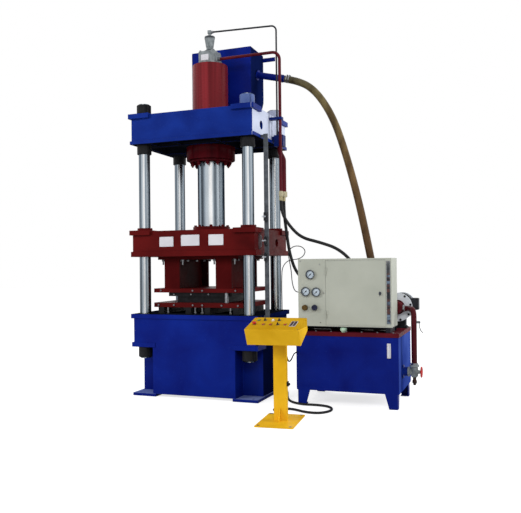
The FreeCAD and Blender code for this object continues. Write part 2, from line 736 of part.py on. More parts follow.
def guide_bushes():
    """Flanged bronze bushes in the slide's corners, running on the columns."""
    seat = slide_top + PAD_RISE
    bushes = []
    for x, y in corners:
        sleeve = rod_hole(BUSH_TUBE_D, V(x, y, seat - BUSH_TUBE_L), V(x, y, seat))
        flange = rod_hole(BUSH_FLANGE_D, V(x, y, seat), V(x, y, seat + BUSH_FLANGE_T))
        bore = rod_hole(COLUMN_D + 2 * RUN_FIT, V(x, y, seat - BUSH_TUBE_L - 1), V(x, y, seat + BUSH_FLANGE_T + 1),
                        FINE_SIDES)
        bushes.append(less(union([sleeve, flange]), [bore]))
    return group(bushes)


def riser_frames():
    """Two risers, I-shaped in plan, under one top plate that is clamped to the slide."""
    top = riser_z + RISER_H
    plate = centred_box(RISER_TOP_W, DIE_PLATE_DEPTH, top, top + RISER_TOP_T)
    parts = [plate]
    y1 = DIE_PLATE_DEPTH / 2
    for s in (-1, 1):
        x = s * RISER_X
        parts.append(box(x - RISER_WEB_T / 2, x + RISER_WEB_T / 2, -y1, y1, riser_z, top))
        parts.append(box(x - RISER_FLANGE_W / 2, x + RISER_FLANGE_W / 2, -y1, -y1 + RISER_FLANGE_T, riser_z, top))
        parts.append(box(x - RISER_FLANGE_W / 2, x + RISER_FLANGE_W / 2, y1 - RISER_FLANGE_T, y1, riser_z, top))
    return union(parts)


def guide_pins():
    return [(PIN_X, -PIN_Y), (-PIN_X, PIN_Y)]


def upper_die_plate():
    plate = centred_box(DIE_PLATE_W, DIE_PLATE_DEPTH, upper_plate_z, riser_z)
    return less(plate, [rod_hole(PIN_D + 2 * RUN_FIT, V(x, y, upper_plate_z - 1), V(x, y, riser_z + 1))
                        for x, y in guide_pins()])


def upper_mould():
    top = upper_mould_z + UPPER_MOULD_H
    mould = centred_box(MOULD_W, MOULD_DEPTH, upper_mould_z, top)
    clamp = centred_box(CLAMP_PLATE_W, CLAMP_PLATE_DEPTH, top, top + CLAMP_PLATE_T)
    return union([mould, clamp])


def lower_die_plate():
    return centred_box(DIE_PLATE_W, DIE_PLATE_DEPTH, lower_plate_z, lower_mould_z)


def lower_tooling():
    """Lower mould, the spacer bars under its plate and the two guide pins."""
    mould = centred_box(MOULD_W, MOULD_DEPTH, lower_mould_z, lower_mould_z + LOWER_MOULD_H)
    half = DIE_PLATE_DEPTH / 2
    spacers = [box(x - SPACER_W / 2, x + SPACER_W / 2, -half, half, deck_top, lower_plate_z) for x in SPACER_XS]
    pins = [rod(PIN_D, V(x, y, lower_mould_z), V(x, y, lower_mould_z + PIN_H)) for x, y in guide_pins()]
    return group([mould] + spacers + pins)


# ================================================================ prefill valve, tank and pipes
def prefill_valve():
    half = VALVE_W / 2
    body = centred_box(VALVE_W, VALVE_W, barrel_top, barrel_top + VALVE_H)
    neck = VALVE_NECK_D / 2
    head = VALVE_HEAD_D / 2
    cap = VALVE_CAP_D / 2
    foot = VALVE_FOOT_D / 2
    stem = VALVE_STEM_D / 2
    profile = [(0, 0), (foot, 0), (foot, VALVE_FOOT_H), (neck, VALVE_FOOT_H + 6), (neck, VALVE_NECK_H),
               (neck + 3, VALVE_NECK_H + 2), (head, VALVE_HEAD_H - 4), (head, VALVE_HEAD_H), (cap, VALVE_HEAD_H),
               (cap, VALVE_CAP_H), (stem, VALVE_CAP_H), (stem, VALVE_TOWER_H), (0, VALVE_TOWER_H)]
    tower = faceted(profile, V(0, 0, barrel_top + VALVE_H), V(0, 0, 1), FINE_SIDES)
    z = barrel_top + VALVE_H + VALVE_TOWER_H - 2
    elbow = centred_box(ELBOW_W, ELBOW_W, z, z + ELBOW_H)
    elbow.rotate(V(0, 0, 0), V(0, 0, 1), pilot_turn)
    middle = barrel_top + VALVE_H / 2
    throat = rod(THROAT_D, V(0, half - 1, middle), V(0, PREFILL_Y0, middle))
    return union([body, tower, elbow, throat])


def prefill_tank():
    """Welded header tank with a sloping rear floor, its outlet stub and a pipe lug."""
    def outline(inset):
        t = inset
        y0 = PREFILL_Y0 + t
        y1 = PREFILL_Y1 - t
        z0 = crown_top + t
        z1 = crown_top + PREFILL_H - t
        return [(y0, z0), (PREFILL_FOOT_Y - t, z0), (PREFILL_FOOT_Y - t, z0 + PREFILL_FOOT_H),
                (y1, z0 + PREFILL_SLOPE_H), (y1, z1), (y0, z1)]
    outer = prism([V(PREFILL_X0, y, z) for y, z in outline(0)], V(PREFILL_X1 - PREFILL_X0, 0, 0))
    w = PREFILL_WALL
    inner = prism([V(PREFILL_X0 + w, y, z) for y, z in outline(w)], V(PREFILL_X1 - PREFILL_X0 - 2 * w, 0, 0))
    stub = rod(OUTLET_D, OUTLET_START - (OUTLET_END - OUTLET_START) * 0.02, OUTLET_END)
    bore = rod(OUTLET_D - 12, OUTLET_START - (OUTLET_END - OUTLET_START) * 0.1, OUTLET_END + V(1, 0, 0))
    lug_z = crown_top + PREFILL_H - LUG_DROP
    lug = box(PREFILL_X1, PREFILL_X1 + LUG_L, PREFILL_Y1 - LUG_T - 8, PREFILL_Y1 - 8, lug_z - LUG_H / 2,
              lug_z + LUG_H / 2)
    return less(union([outer, stub, lug]), [inner, bore])


def suction_pipe():
    """Line from the angle valve up and over to the pump."""
    pump_side = MOTOR_X + PUMP_D / 2
    return tube([V(pump_side, -10, SUCTION_Z), V(pump_side + 60, -10, SUCTION_Z),
                 V(SUCTION_X, SUCTION_Y, SUCTION_Z), V(SUCTION_X, SUCTION_Y, GATE_Z + 73)],
                SUCTION_D, PIPE_SIDES, 75)


def pipework():
    """Steel pipes: pilot line, thin and thick pressure lines, pump line and suction line."""
    elbow_z = barrel_top + VALVE_H + 248
    pilot_aim = V(PILOT_X, PILOT_Y, 0).normalize()
    pilot = tube([V(0, 0, elbow_z) + pilot_aim * (ELBOW_W / 2), V(PILOT_X, PILOT_Y, elbow_z),
                  V(PILOT_X, PILOT_Y, BLOCK_Z1)], PILOT_D, PIPE_SIDES, 60)
    thin = tube([V(VALVE_W / 2, THIN_PIPE_Y, THIN_PIPE_Z), V(THIN_PIPE_X, THIN_PIPE_Y, THIN_PIPE_Z),
                 V(THIN_PIPE_X, THIN_PIPE_Y, PIPE_END_Z)], THIN_PIPE_D, PIPE_SIDES, 90)
    block_x = (BLOCK_X0 + BLOCK_X1) / 2
    thick = tube([V(block_x, THICK_PIPE_Y, BLOCK_Z0), V(block_x, THICK_PIPE_Y, BLOCK_Z0 - 70),
                  V(THICK_PIPE_X, THICK_PIPE_Y, BLOCK_Z0 - 150), V(THICK_PIPE_X, THICK_PIPE_Y, PIPE_END_Z)],
                 THICK_PIPE_D, PIPE_SIDES, 90)
    delivery = tube([V(MOTOR_X - PUMP_D / 2, -5, MOTOR_Z - 60), V(MOTOR_X - PUMP_D / 2 - 110, -5, MOTOR_Z - 60),
                     V(MANIFOLD_X1 + 90, 60, MANIFOLD_Z1 - 50), V(MANIFOLD_X1, 60, MANIFOLD_Z1 - 50)], 28, PIPE_SIDES, 60)
    return group([pilot, thin, thick, suction_pipe(), delivery])


def pipe_fittings():
    """Junction block on the crown, unions at the pipes' ends, and the clamps that carry them."""
    crown_side = CROWN_W / 2
    block = union([box(BLOCK_X0, BLOCK_X1, BLOCK_Y0, BLOCK_Y1, BLOCK_Z0, BLOCK_Z1),
                   box(crown_side, BLOCK_X0 + 1, BLOCK_Y0 + 25, BLOCK_Y1 - 20, BLOCK_Z1 - 10 - BRACKET_H,
                       BLOCK_Z1 - 10)])
    thin_at = V(THIN_PIPE_X, THIN_PIPE_Y, PIPE_END_Z)
    thick_at = V(THICK_PIPE_X, THICK_PIPE_Y, PIPE_END_Z)
    unions = []
    for at, width in ((thin_at, THIN_NUT_W), (thick_at, THICK_NUT_W)):
        nut = hexagon(width, at - V(0, 0, HEX_H), at)
        tail = rod(HOSE_D, at - V(0, 0, PIPE_NUT_H), at - V(0, 0, HEX_H - 2))
        unions.append(union([nut, tail]))
    # strap that holds the thin pipe to the crown's side
    z = crown_top - STRAP_DROP
    half = STRAP_W / 2
    strap = box(crown_side, THIN_PIPE_X + half, THIN_PIPE_Y - half, THIN_PIPE_Y + half, z - STRAP_H / 2,
                z + STRAP_H / 2)
    strap = less(strap, [rod_hole(THIN_PIPE_D + 2 * STRAP_GAP, V(THIN_PIPE_X, THIN_PIPE_Y, z - 20),
                                  V(THIN_PIPE_X, THIN_PIPE_Y, z + 20))])
    # band clamp on the tank's outlet
    along = (OUTLET_END - OUTLET_START).normalize()
    band = rod(OUTLET_D + 16, OUTLET_END - along * 60, OUTLET_END - along * 20)
    band = less(band, [rod(OUTLET_D + 2 * RUN_FIT, OUTLET_END - along * 70, OUTLET_END)])
    return group([block, strap, band] + unions)


# ================================================================ limit rail
def limit_rail():
    x0 = RAIL_X - RAIL_W / 2
    x1 = RAIL_X + RAIL_W / 2
    y0 = RAIL_Y - RAIL_T / 2
    y1 = RAIL_Y + RAIL_T / 2
    bar = box(x0, x1, y0, y1, RAIL_Z0, RAIL_Z1)
    crown_side = CROWN_W / 2 + CROWN_SOLE_OVER_X
    bed_side = BED_W / 2 + BED_DECK_OVER_X
    top = box(crown_side, x0 + 1, y0, y1, CROWN_Z + 4, CROWN_Z + CROWN_SOLE_T - 4)
    bottom = box(bed_side, x0 + 1, y0, y1, deck_top - BED_DECK_T + 5, deck_top - 5)
    conduit_y = y1 + CONDUIT_D / 2 - 1
    conduit = rod(CONDUIT_D, V(RAIL_X, conduit_y, RAIL_Z0 + 60), V(RAIL_X, conduit_y, SWITCH_ZS[-1] + 40))
    return union([bar, top, bottom, conduit])


def switch_front():
    return RAIL_Y - RAIL_T / 2 - SWITCH_T


def limit_switches():
    y1 = RAIL_Y - RAIL_T / 2
    bodies = []
    for z in SWITCH_ZS:
        case = box(RAIL_X - SWITCH_W / 2, RAIL_X + SWITCH_W / 2, switch_front(), y1, z - SWITCH_H / 2, z + SWITCH_H / 2)
        boss = rod(24, V(RAIL_X, switch_front() + 1, z), V(RAIL_X, switch_front() - 8, z))
        pivot = rod(8, V(RAIL_X, switch_front() - 7, z), V(RAIL_X, switch_front() - 18, z))
        bodies.append(union([case, boss, pivot]))
    return group(bodies)


def limit_lever(z):
    """Roller lever on a switch's shaft, pointing at the slide."""
    y1 = switch_front() - 8 - SEAT_GAP
    y0 = y1 - 6
    tip_x = RAIL_X - LEVER_REACH
    hub = rod(18, V(RAIL_X, y0, z), V(RAIL_X, y1, z))
    arm = box(tip_x, RAIL_X, y0, y1, z - 5, z + 5)
    roller = rod(LEVER_ROLLER_D, V(tip_x, y0 - 8, z), V(tip_x, y1, z))
    bore = rod_hole(8 + 2 * RUN_FIT, V(RAIL_X, y0 - 1, z), V(RAIL_X, y1 + 1, z))
    return less(union([hub, arm, roller]), [bore])


def switch_dog():
    """Cam strip on the slide's side that passes the switch rollers."""
    tip = RAIL_X - LEVER_REACH - LEVER_ROLLER_D / 2 - DOG_CLEAR
    side = SLIDE_W / 2
    y1 = switch_front() - 8
    z0 = slide_z + SLIDE_SOLE_T + 8
    z1 = slide_top + PAD_RISE - PAD_T - 8
    points = [V(side, y1, z0), V(tip, y1, z0 + DOG_RAMP), V(tip, y1, z1 - DOG_RAMP), V(side, y1, z1)]
    return prism(points, V(0, -20, 0))


# ================================================================ oil tank
def oil_tank():
    """Open welded tank on four folded, tapering legs, with the suction stub."""
    w = TANK_WALL
    top = COVER_Z - COVER_T
    outer = box(TANK_X0, TANK_X1, -TANK_Y, TANK_Y, TANK_Z0, top)
    inner = box(TANK_X0 + w, TANK_X1 - w, -TANK_Y + w, TANK_Y - w, TANK_Z0 + w, top + 1)
    inset = 14.0
    parts = [outer]
    for side_x, sx in ((TANK_X0 + inset, 1), (TANK_X1 - inset, -1)):
        for sy in (-1, 1):
            y_face = sy * TANK_Y
            face = [V(side_x, y_face, TANK_Z0 + 1), V(side_x + sx * LEG_TOP_W, y_face, TANK_Z0 + 1),
                    V(side_x + sx * LEG_FOOT_W, y_face, 0), V(side_x, y_face, 0)]
            parts.append(prism(face, V(0, -sy * LEG_T, 0)))
            edge = [V(side_x, y_face, TANK_Z0 + 1), V(side_x, y_face - sy * LEG_DEPTH, TANK_Z0 + 1),
                    V(side_x, y_face - sy * LEG_DEPTH * 0.8, 0), V(side_x, y_face, 0)]
            parts.append(prism(edge, V(sx * LEG_T, 0, 0)))
            xs = sorted((side_x, side_x + sx * LEG_FOOT_W))
            ys = sorted((y_face, y_face - sy * LEG_DEPTH * 0.8))
            parts.append(box(xs[0], xs[1], ys[0], ys[1], 0, LEG_T))
    stub = rod(SUCTION_D, V(TANK_X1 - 1, SUCTION_Y, GATE_Z), V(SUCTION_X - 67, SUCTION_Y, GATE_Z))
    bore = rod(SUCTION_D - 10, V(TANK_X1 - w - 1, SUCTION_Y, GATE_Z), V(SUCTION_X - 60, SUCTION_Y, GATE_Z))
    return less(union(parts + [stub]), [inner, bore])


def tank_cover():
    """Lid with a deep turned-down rim."""
    x0 = TANK_X0 - COVER_OVER
    x1 = TANK_X1 + COVER_OVER
    y1 = TANK_Y + COVER_OVER
    outer = box(x0, x1, -y1, y1, COVER_Z - COVER_SKIRT, COVER_Z)
    inner = box(TANK_X0 - SEAT_GAP, TANK_X1 + SEAT_GAP, -TANK_Y - SEAT_GAP, TANK_Y + SEAT_GAP,
                COVER_Z - COVER_SKIRT - 1, COVER_Z - COVER_T)
    return less(outer, [inner])


def tank_fittings():
    """Level gauge, filler cap, hose flange and drain plug."""
    gauge = box(LEVEL_X - LEVEL_W, LEVEL_X, -TANK_Y - LEVEL_T, -TANK_Y, LEVEL_Z, LEVEL_Z + LEVEL_H)
    neck = FILLER_NECK_D / 2
    rim = FILLER_D / 2
    cap = faceted([(0, 0), (neck, 0), (neck, FILLER_NECK_H), (rim, FILLER_NECK_H + 2), (rim, FILLER_H - 6),
                   (rim - 6, FILLER_H), (0, FILLER_H)], V(FILLER_X, FILLER_Y, COVER_Z), V(0, 0, 1), SMALL_SIDES)
    stub = SUCTION_HOSE_D / 2
    plate = HOSE_FLANGE_D / 2
    flange = faceted([(0, 0), (plate, 0), (plate, HOSE_FLANGE_T), (stub, HOSE_FLANGE_T), (stub, HOSE_FLANGE_H),
                      (0, HOSE_FLANGE_H)], V(HOSE_FLANGE_X, HOSE_FLANGE_Y, COVER_Z), V(0, 0, 1), FINE_SIDES)
    return group([gauge, cap, flange])


def suction_valve():
    """Angle valve between tank, suction pipe and hand wheel, with its drain cock."""
    x = SUCTION_X
    y = SUCTION_Y
    z = GATE_Z
    flange = rod(104, V(x - 67, y, z), V(x - 51, y, z))
    run = rod(66, V(x - 52, y, z), V(x + 24, y, z))
    tower = faceted([(0, -56), (30, -56), (38, -44), (38, 40), (34, 52), (50, 54), (50, 73), (0, 73)], V(x, y, z),
                    V(0, 0, 1), SMALL_SIDES)
    bonnet = faceted([(0, 0), (32, 0), (32, 10), (20, 14), (20, 34), (13, 38), (0, 38)], V(x + 20, y, z), V(1, 0, 0),
                     SMALL_SIDES)
    body = union([flange, run, tower])
    body = less(body, [rod_hole(12 + 2 * RUN_FIT, V(x + 8, y, z), V(x + 60, y, z))])
    body = union([body, less(bonnet, [rod_hole(12 + 2 * RUN_FIT, V(x + 8, y, z), V(x + 90, y, z))])])
    drain = faceted([(0, 0), (18, 0), (18, -30), (24, -32), (24, -62), (14, -66), (14, -82), (0, -82)],
                    V(x, y, z - 56), V(0, 0, 1), SMALL_SIDES)
    tap = union([rod(26, V(x, y, TAP_Z), V(x + SUCTION_D / 2 + 24, y, TAP_Z)),
                 rod(10, V(x + SUCTION_D / 2 + 23, y, TAP_Z), V(x + SUCTION_D / 2 + 38, y, TAP_Z))])
    pipe = suction_pipe()
    tap = less(tap, [pipe, box(x - 20, x + SUCTION_D / 4, y - 20, y + 20, TAP_Z - 20, TAP_Z + 20)])
    return group([body, drain, tap])


def valve_handwheel():
    """Spoked wheel with its stem in the bonnet."""
    x = SUCTION_X + 20 + 38
    centre = V(x + 8, SUCTION_Y, GATE_Z)
    rim = faceted([(WHEEL_D / 2 - 10, 0), (WHEEL_D / 2, 2), (WHEEL_D / 2, 10), (WHEEL_D / 2 - 10, 12)], centre,
                  V(1, 0, 0), FINE_SIDES)
    hub = rod(26, centre, centre + V(14, 0, 0))
    stem = rod(12, centre + V(-36, 0, 0), centre + V(1, 0, 0))
    spokes = []
    for i in range(5):
        spoke = box(2, 9, -4, 4, 8, WHEEL_D / 2 - 5)
        spoke.rotate(V(0, 0, 0), V(1, 0, 0), 72 * i)
        spoke.translate(centre)
        spokes.append(spoke)
    return union([rim, hub, stem] + spokes)


def tap_lever():
    """Small curved lever on the pipe's sample tap, hanging down."""
    x0 = SUCTION_X + SUCTION_D / 2 + 24 + SEAT_GAP
    x1 = x0 + 5
    y = SUCTION_Y
    z = TAP_Z
    hub = rod(24, V(x0, y, z), V(x1 + 3, y, z))
    blade = prism([V(x0, y - 7, z), V(x1, y - 7, z), V(x1, y - 7, z - 45), V(x1 + 14, y - 7, z - 85),
                   V(x1 + 34, y - 7, z - 108), V(x1 + 30, y - 7, z - 112), V(x1 + 9, y - 7, z - 88),
                   V(x0, y - 7, z - 47)], V(0, 14, 0))
    bore = rod_hole(10 + 2 * RUN_FIT, V(x0 - 1, y, z), V(x1 + 5, y, z))
    return less(union([hub, blade]), [bore])


# ================================================================ motor, pump and manifold
def around_motor(profile):
    return faceted(profile, V(MOTOR_X, 0, MOTOR_Z), V(0, 1, 0), FINE_SIDES)


def pump_unit():
    """Vane pump in front of the bell housing."""
    y0 = BELL_Y - PUMP_L
    r = PUMP_D / 2
    bore = bored(PUMP_SHAFT_D / 2 + RUN_FIT, FINE_SIDES)
    pump = around_motor([(0, y0), (r - 12, y0), (r, y0 + 12), (r, BELL_Y - 20), (r + 14, BELL_Y - 18),
                         (r + 14, BELL_Y), (bore, BELL_Y), (bore, BELL_Y - 34), (0, BELL_Y - 34)])
    tube_r = BELL_TUBE_D / 2
    mouth = PUMP_SHAFT_D
    y1 = BELL_Y + BELL_L
    bell = around_motor([(mouth, BELL_Y), (BELL_D / 2, BELL_Y), (BELL_D / 2, BELL_Y + BELL_T), (tube_r, BELL_Y + 30),
                         (tube_r, y1), (tube_r - 12, y1), (tube_r - 12, BELL_Y + BELL_T), (mouth, BELL_Y + BELL_T)])
    return group([pump, bell])


def motor_body():
    """Finned stator frame with end shields, fan cowl, terminal box and feet."""
    y0 = BELL_Y + BELL_L
    y1 = y0 + MOTOR_L - 70
    r = MOTOR_D / 2
    bearing = bored(SHAFT_D / 2 + RUN_FIT, FINE_SIDES)
    core = bored(STATOR_D / 2, FINE_SIDES)
    frame = around_motor([(bearing, y0), (r + 8, y0), (r + 8, y0 + 16), (r, y0 + 18), (r, y1), (bearing, y1),
                          (bearing, y1 - 20), (core, y1 - 20), (core, y0 + 20), (bearing, y0 + 20)])
    fins = []
    for i in range(MOTOR_FINS):
        turn = 360.0 / MOTOR_FINS * (i + 0.5)
        fin = box(-3, 3, y0 + 22, y1 - 12, r - 4, r + MOTOR_FIN_H)
        fin.rotate(V(0, 0, 0), V(0, 1, 0), turn)
        fin.translate(V(MOTOR_X, 0, MOTOR_Z))
        fins.append(fin)
    foot_depth = 50.0
    feet = []
    for y in (y0 + 45, y1 - 45 - foot_depth):
        feet.append(box(MOTOR_X - 105, MOTOR_X + 75, y, y + foot_depth, COVER_Z, MOTOR_Z - r + 30))
    box_x = MOTOR_X + r - 6
    terminal = box(box_x, box_x + 78, y0 + 40, y0 + 150, MOTOR_Z - 40, MOTOR_Z + 90)
    body = union([frame] + fins + feet + [terminal])
    cowl_r = r + 6
    inner = r + SEAT_GAP
    end = y1 + 72
    cowl = around_motor([(inner, y1 - 10), (cowl_r + 12, y1 - 10), (cowl_r + 12, end - 16), (cowl_r - 8, end),
                         (20, end), (20, end - 3), (cowl_r - 9, end - 3), (cowl_r + 9, end - 18), (cowl_r + 9, y1 - 2),
                         (inner, y1 - 2)])
    slots = []
    for i in range(8):
        slot = box(-10, 10, end - 8, end + 5, 45, 100)
        slot.rotate(V(0, 0, 0), V(0, 1, 0), 45 * i)
        slot.translate(V(MOTOR_X, 0, MOTOR_Z))
        slots.append(slot)
    return group([body, less(cowl, slots)])


def motor_rotor():
    """Shaft with coupling, rotor core and cooling fan."""
    y0 = BELL_Y + BELL_L
    y1 = y0 + MOTOR_L - 70
    pump_end = BELL_Y - 34 + SEAT_GAP
    core = STATOR_D / 2 - 1
    s = SHAFT_D / 2
    p = PUMP_SHAFT_D / 2
    spindle = around_motor([(0, pump_end), (p, pump_end), (p, BELL_Y + 30), (42, BELL_Y + 30), (42, y0 - 12),
                            (s, y0 - 12), (s, y0 + 30), (core, y0 + 30), (core, y1 - 30), (s, y1 - 30),
                            (s, y1 + 14), (40, y1 + 14), (40, y1 + 40), (0, y1 + 40)])
    blades = []
    for i in range(6):
        blade = box(-2, 2, y1 + 14, y1 + 40, 36, 112)
        blade.rotate(V(0, 0, 0), V(0, 1, 0), 60 * i)
        blade.translate(V(MOTOR_X, 0, MOTOR_Z))
        blades.append(blade)
    return union([spindle] + blades)


def valve_manifold():
    """Ported block on a pedestal with three solenoid valves and the hose adapters."""
    block = box(MANIFOLD_X0, MANIFOLD_X1, MANIFOLD_Y0, MANIFOLD_Y1, MANIFOLD_Z0, MANIFOLD_Z1)
    pedestal = box(MANIFOLD_X0 + 50, MANIFOLD_X1 - 50, MANIFOLD_Y0 + 20, MANIFOLD_Y1 - 20, COVER_Z, MANIFOLD_Z0)
    adapters = [rod(HOSE_D, port - V(0, 0, port.z - MANIFOLD_Z1 + 1), port) for port in (PORT_A, PORT_B)]
    parts = [union([block, pedestal] + adapters)]
    for i in range(3):
        x = MANIFOLD_X0 + 125 + 95 * i
        valve = box(x - 32, x + 32, MANIFOLD_Y0 + 15, MANIFOLD_Y1 - 15, MANIFOLD_Z1, MANIFOLD_Z1 + 62)
        coils = rod(50, V(x, MANIFOLD_Y0 - 45, MANIFOLD_Z1 + 32), V(x, MANIFOLD_Y1 + 45, MANIFOLD_Z1 + 32))
        parts.append(union([valve, coils]))
    return group(parts)


# ================================================================ control cabinet
def cabinet_shell():
    """Sheet cabinet with a raised front frame, inner mounting plate, hinge halves and two bearers."""
    w = CAB_WALL
    back = CAB_Y0 + DOOR_T
    outer = box(CAB_X0, CAB_X1, CAB_Y0, CAB_Y1, CAB_Z0, CAB_Z1)
    inner = box(CAB_X0 + w, CAB_X1 - w, back, CAB_Y1 - w, CAB_Z0 + w, CAB_Z1 - w)
    opening = box(DOOR_X0 - DOOR_GAP, DOOR_X1 + DOOR_GAP, CAB_Y0 - 1, back + 1, DOOR_Z0 - DOOR_GAP, DOOR_Z1 + DOOR_GAP)
    shell = less(outer, [inner, opening])
    # return flange that the closed door lies on
    rim = 16.0
    seat = less(box(DOOR_X0 - rim, DOOR_X1 + rim, back + SEAT_GAP, back + SEAT_GAP + w, DOOR_Z0 - rim, DOOR_Z1 + rim),
                [box(DOOR_X0 + rim, DOOR_X1 - rim, back, back + 10, DOOR_Z0 + rim, DOOR_Z1 - rim)])
    frame = less(box(DOOR_X0 - rim, DOOR_X1 + rim, back - 2, back + 2, DOOR_Z0 - rim, DOOR_Z1 + rim),
                 [box(DOOR_X0 - DOOR_GAP, DOOR_X1 + DOOR_GAP, back - 3, back + 3, DOOR_Z0 - DOOR_GAP,
                      DOOR_Z1 + DOOR_GAP)])
    plate = box(DOOR_X0 + 40, DOOR_X1 - 40, CAB_Y1 - w - 22, CAB_Y1 - w - 18, DOOR_Z0 + 40, DOOR_Z1 - 40)
    studs = [box(x - 8, x + 8, CAB_Y1 - w - 19, CAB_Y1 - w + 1, z - 8, z + 8)
             for x in (DOOR_X0 + 80, DOOR_X1 - 80) for z in (DOOR_Z0 + 80, DOOR_Z1 - 80)]
    rails = [box(DOOR_X0 + 70, DOOR_X1 - 70, CAB_Y1 - w - 90, CAB_Y1 - w - 21, z - 45, z + 45)
             for z in (DOOR_Z0 + 190, DOOR_Z0 + 380, DOOR_Z0 + 570)]
    hinges = []
    for z in HINGE_ZS:
        axis = V(hinge_x(), hinge_y(), z)
        hinges.append(rod(2 * HINGE_R, axis - V(0, 0, HINGE_LEN), axis - V(0, 0, SEAT_GAP)))
        hinges.append(rod(2 * HINGE_PIN_R, axis - V(0, 0, 1), axis + V(0, 0, HINGE_LEN)))
        hinges.append(box(axis.x - 26, axis.x, CAB_Y0 - 2, CAB_Y0 + 1, z - HINGE_LEN, z - SEAT_GAP))
    bearers = [box(x, x + 50, CAB_Y0 + 30, CAB_Y1 - 10, COVER_Z, CAB_Z0 + 1) for x in (CAB_X0 + 20, CAB_X1 - 70)]
    return union([shell, frame, seat, plate] + studs + rails + hinges + bearers)


def hinge_x():
    return DOOR_X0 - DOOR_GAP / 2


def hinge_y():
    return CAB_Y0 - HINGE_R - SEAT_GAP


def cabinet_door():
    """Folded door with turned-in edges and its hinge halves."""
    back = CAB_Y0 + DOOR_T
    outer = box(DOOR_X0, DOOR_X1, CAB_Y0, back, DOOR_Z0, DOOR_Z1)
    w = 3.0
    inner = box(DOOR_X0 + w, DOOR_X1 - w, CAB_Y0 + w, back + 1, DOOR_Z0 + w, DOOR_Z1 - w)
    parts = [less(outer, [inner])]
    for z in HINGE_ZS:
        axis = V(hinge_x(), hinge_y(), z)
        parts.append(rod(2 * HINGE_R, axis, axis + V(0, 0, HINGE_LEN)))
        parts.append(box(axis.x, axis.x + 26, CAB_Y0 - 2, CAB_Y0 + 1, z, z + HINGE_LEN))
    body = union(parts)
    bores = []
    for z in HINGE_ZS:
        axis = V(hinge_x(), hinge_y(), z)
        bores.append(rod_hole(2 * (HINGE_PIN_R + RUN_FIT), axis - V(0, 0, 1), axis + V(0, 0, HINGE_LEN + 1)))
    lock_hole = rod_hole(16 + 2 * RUN_FIT, V(LOCK_X, CAB_Y0 - 5, LOCK_Z), V(LOCK_X, back + 5, LOCK_Z))
    return less(body, bores + [lock_hole])


def door_lock():
    """Quarter-turn lock with its cam behind the door's skin."""
    axis = V(LOCK_X, CAB_Y0, LOCK_Z)
    head = rod(30, axis - V(0, SEAT_GAP + 5, 0), axis - V(0, SEAT_GAP, 0))
    grip = box(LOCK_X - 4, LOCK_X + 4, CAB_Y0 - 24, CAB_Y0 - 4, LOCK_Z - 20, LOCK_Z + 20)
    cam_y = DOOR_T + SEAT_GAP + CAB_WALL + SEAT_GAP
    barrel = rod(16, axis - V(0, 1, 0), axis + V(0, cam_y + 5, 0))
    cam = box(LOCK_X - 9, LOCK_X + 9, CAB_Y0 + cam_y, CAB_Y0 + cam_y + 4, LOCK_Z - 9, LOCK_Z + LOCK_REACH)
    return union([head, grip, barrel, cam])


def gauge_cases():
    """Three round gauges: open case, dial plate and needle pivot."""
    cases = []
    for x, z in GAUGE_PLACES:
        at = V(x, CAB_Y0, z)
        r = GAUGE_D / 2
        d = -GAUGE_DEPTH
        cup = faceted([(0, 0), (r - 6, 0), (r - 6, d + 8), (r, d + 8), (r, d), (r - 6, d), (r - 8, d + 4),
                      (r - 8, d + 16), (3, d + 16), (3, d + 10), (0, d + 10)], at, V(0, 1, 0), FINE_SIDES)
        cases.append(cup)
    return group(cases)


def gauge_needle(x, z):
    """Needle on the dial's pivot, resting at the low end of the scale."""
    y = CAB_Y0 - GAUGE_DEPTH + 16 - SEAT_GAP
    at = V(x, y, z)
    hub = less(rod(14, at, at - V(0, 4, 0)), [rod_hole(6 + 2 * RUN_FIT, at + V(0, 1, 0), at - V(0, 6, 0))])
    pointer = prism([V(x - 3, y - 1, z + 5), V(x + 3, y - 1, z + 5), V(x + 1, y - 1, z + 32), V(x - 1, y - 1, z + 32)],
                    V(0, -2, 0))
    tail = box(x - 3, x + 3, y - 3, y - 1, z - 13, z - 5)
    needle = union([hub, pointer, tail])
    needle.rotate(at, V(0, 1, 0), -135)
    return needle


def panel_knob(x, z):
    """Knurled regulator knob on a collar."""
    at = V(x, CAB_Y0 - SEAT_GAP, z)
    r = KNOB_D / 2
    collar = faceted([(0, 0), (r - 9, 0), (r - 9, -11), (0, -11)], at, V(0, 1, 0), SMALL_SIDES)
    outline = []
    for i in range(2 * KNOB_LOBES):
        turn = math.pi * i / KNOB_LOBES
        reach = r - KNOB_LOBE_DEPTH * (i % 2)
        outline.append(at + V(reach * math.cos(turn), -10, reach * math.sin(turn)))
    return union([collar, prism(outline, V(0, -28, 0))])


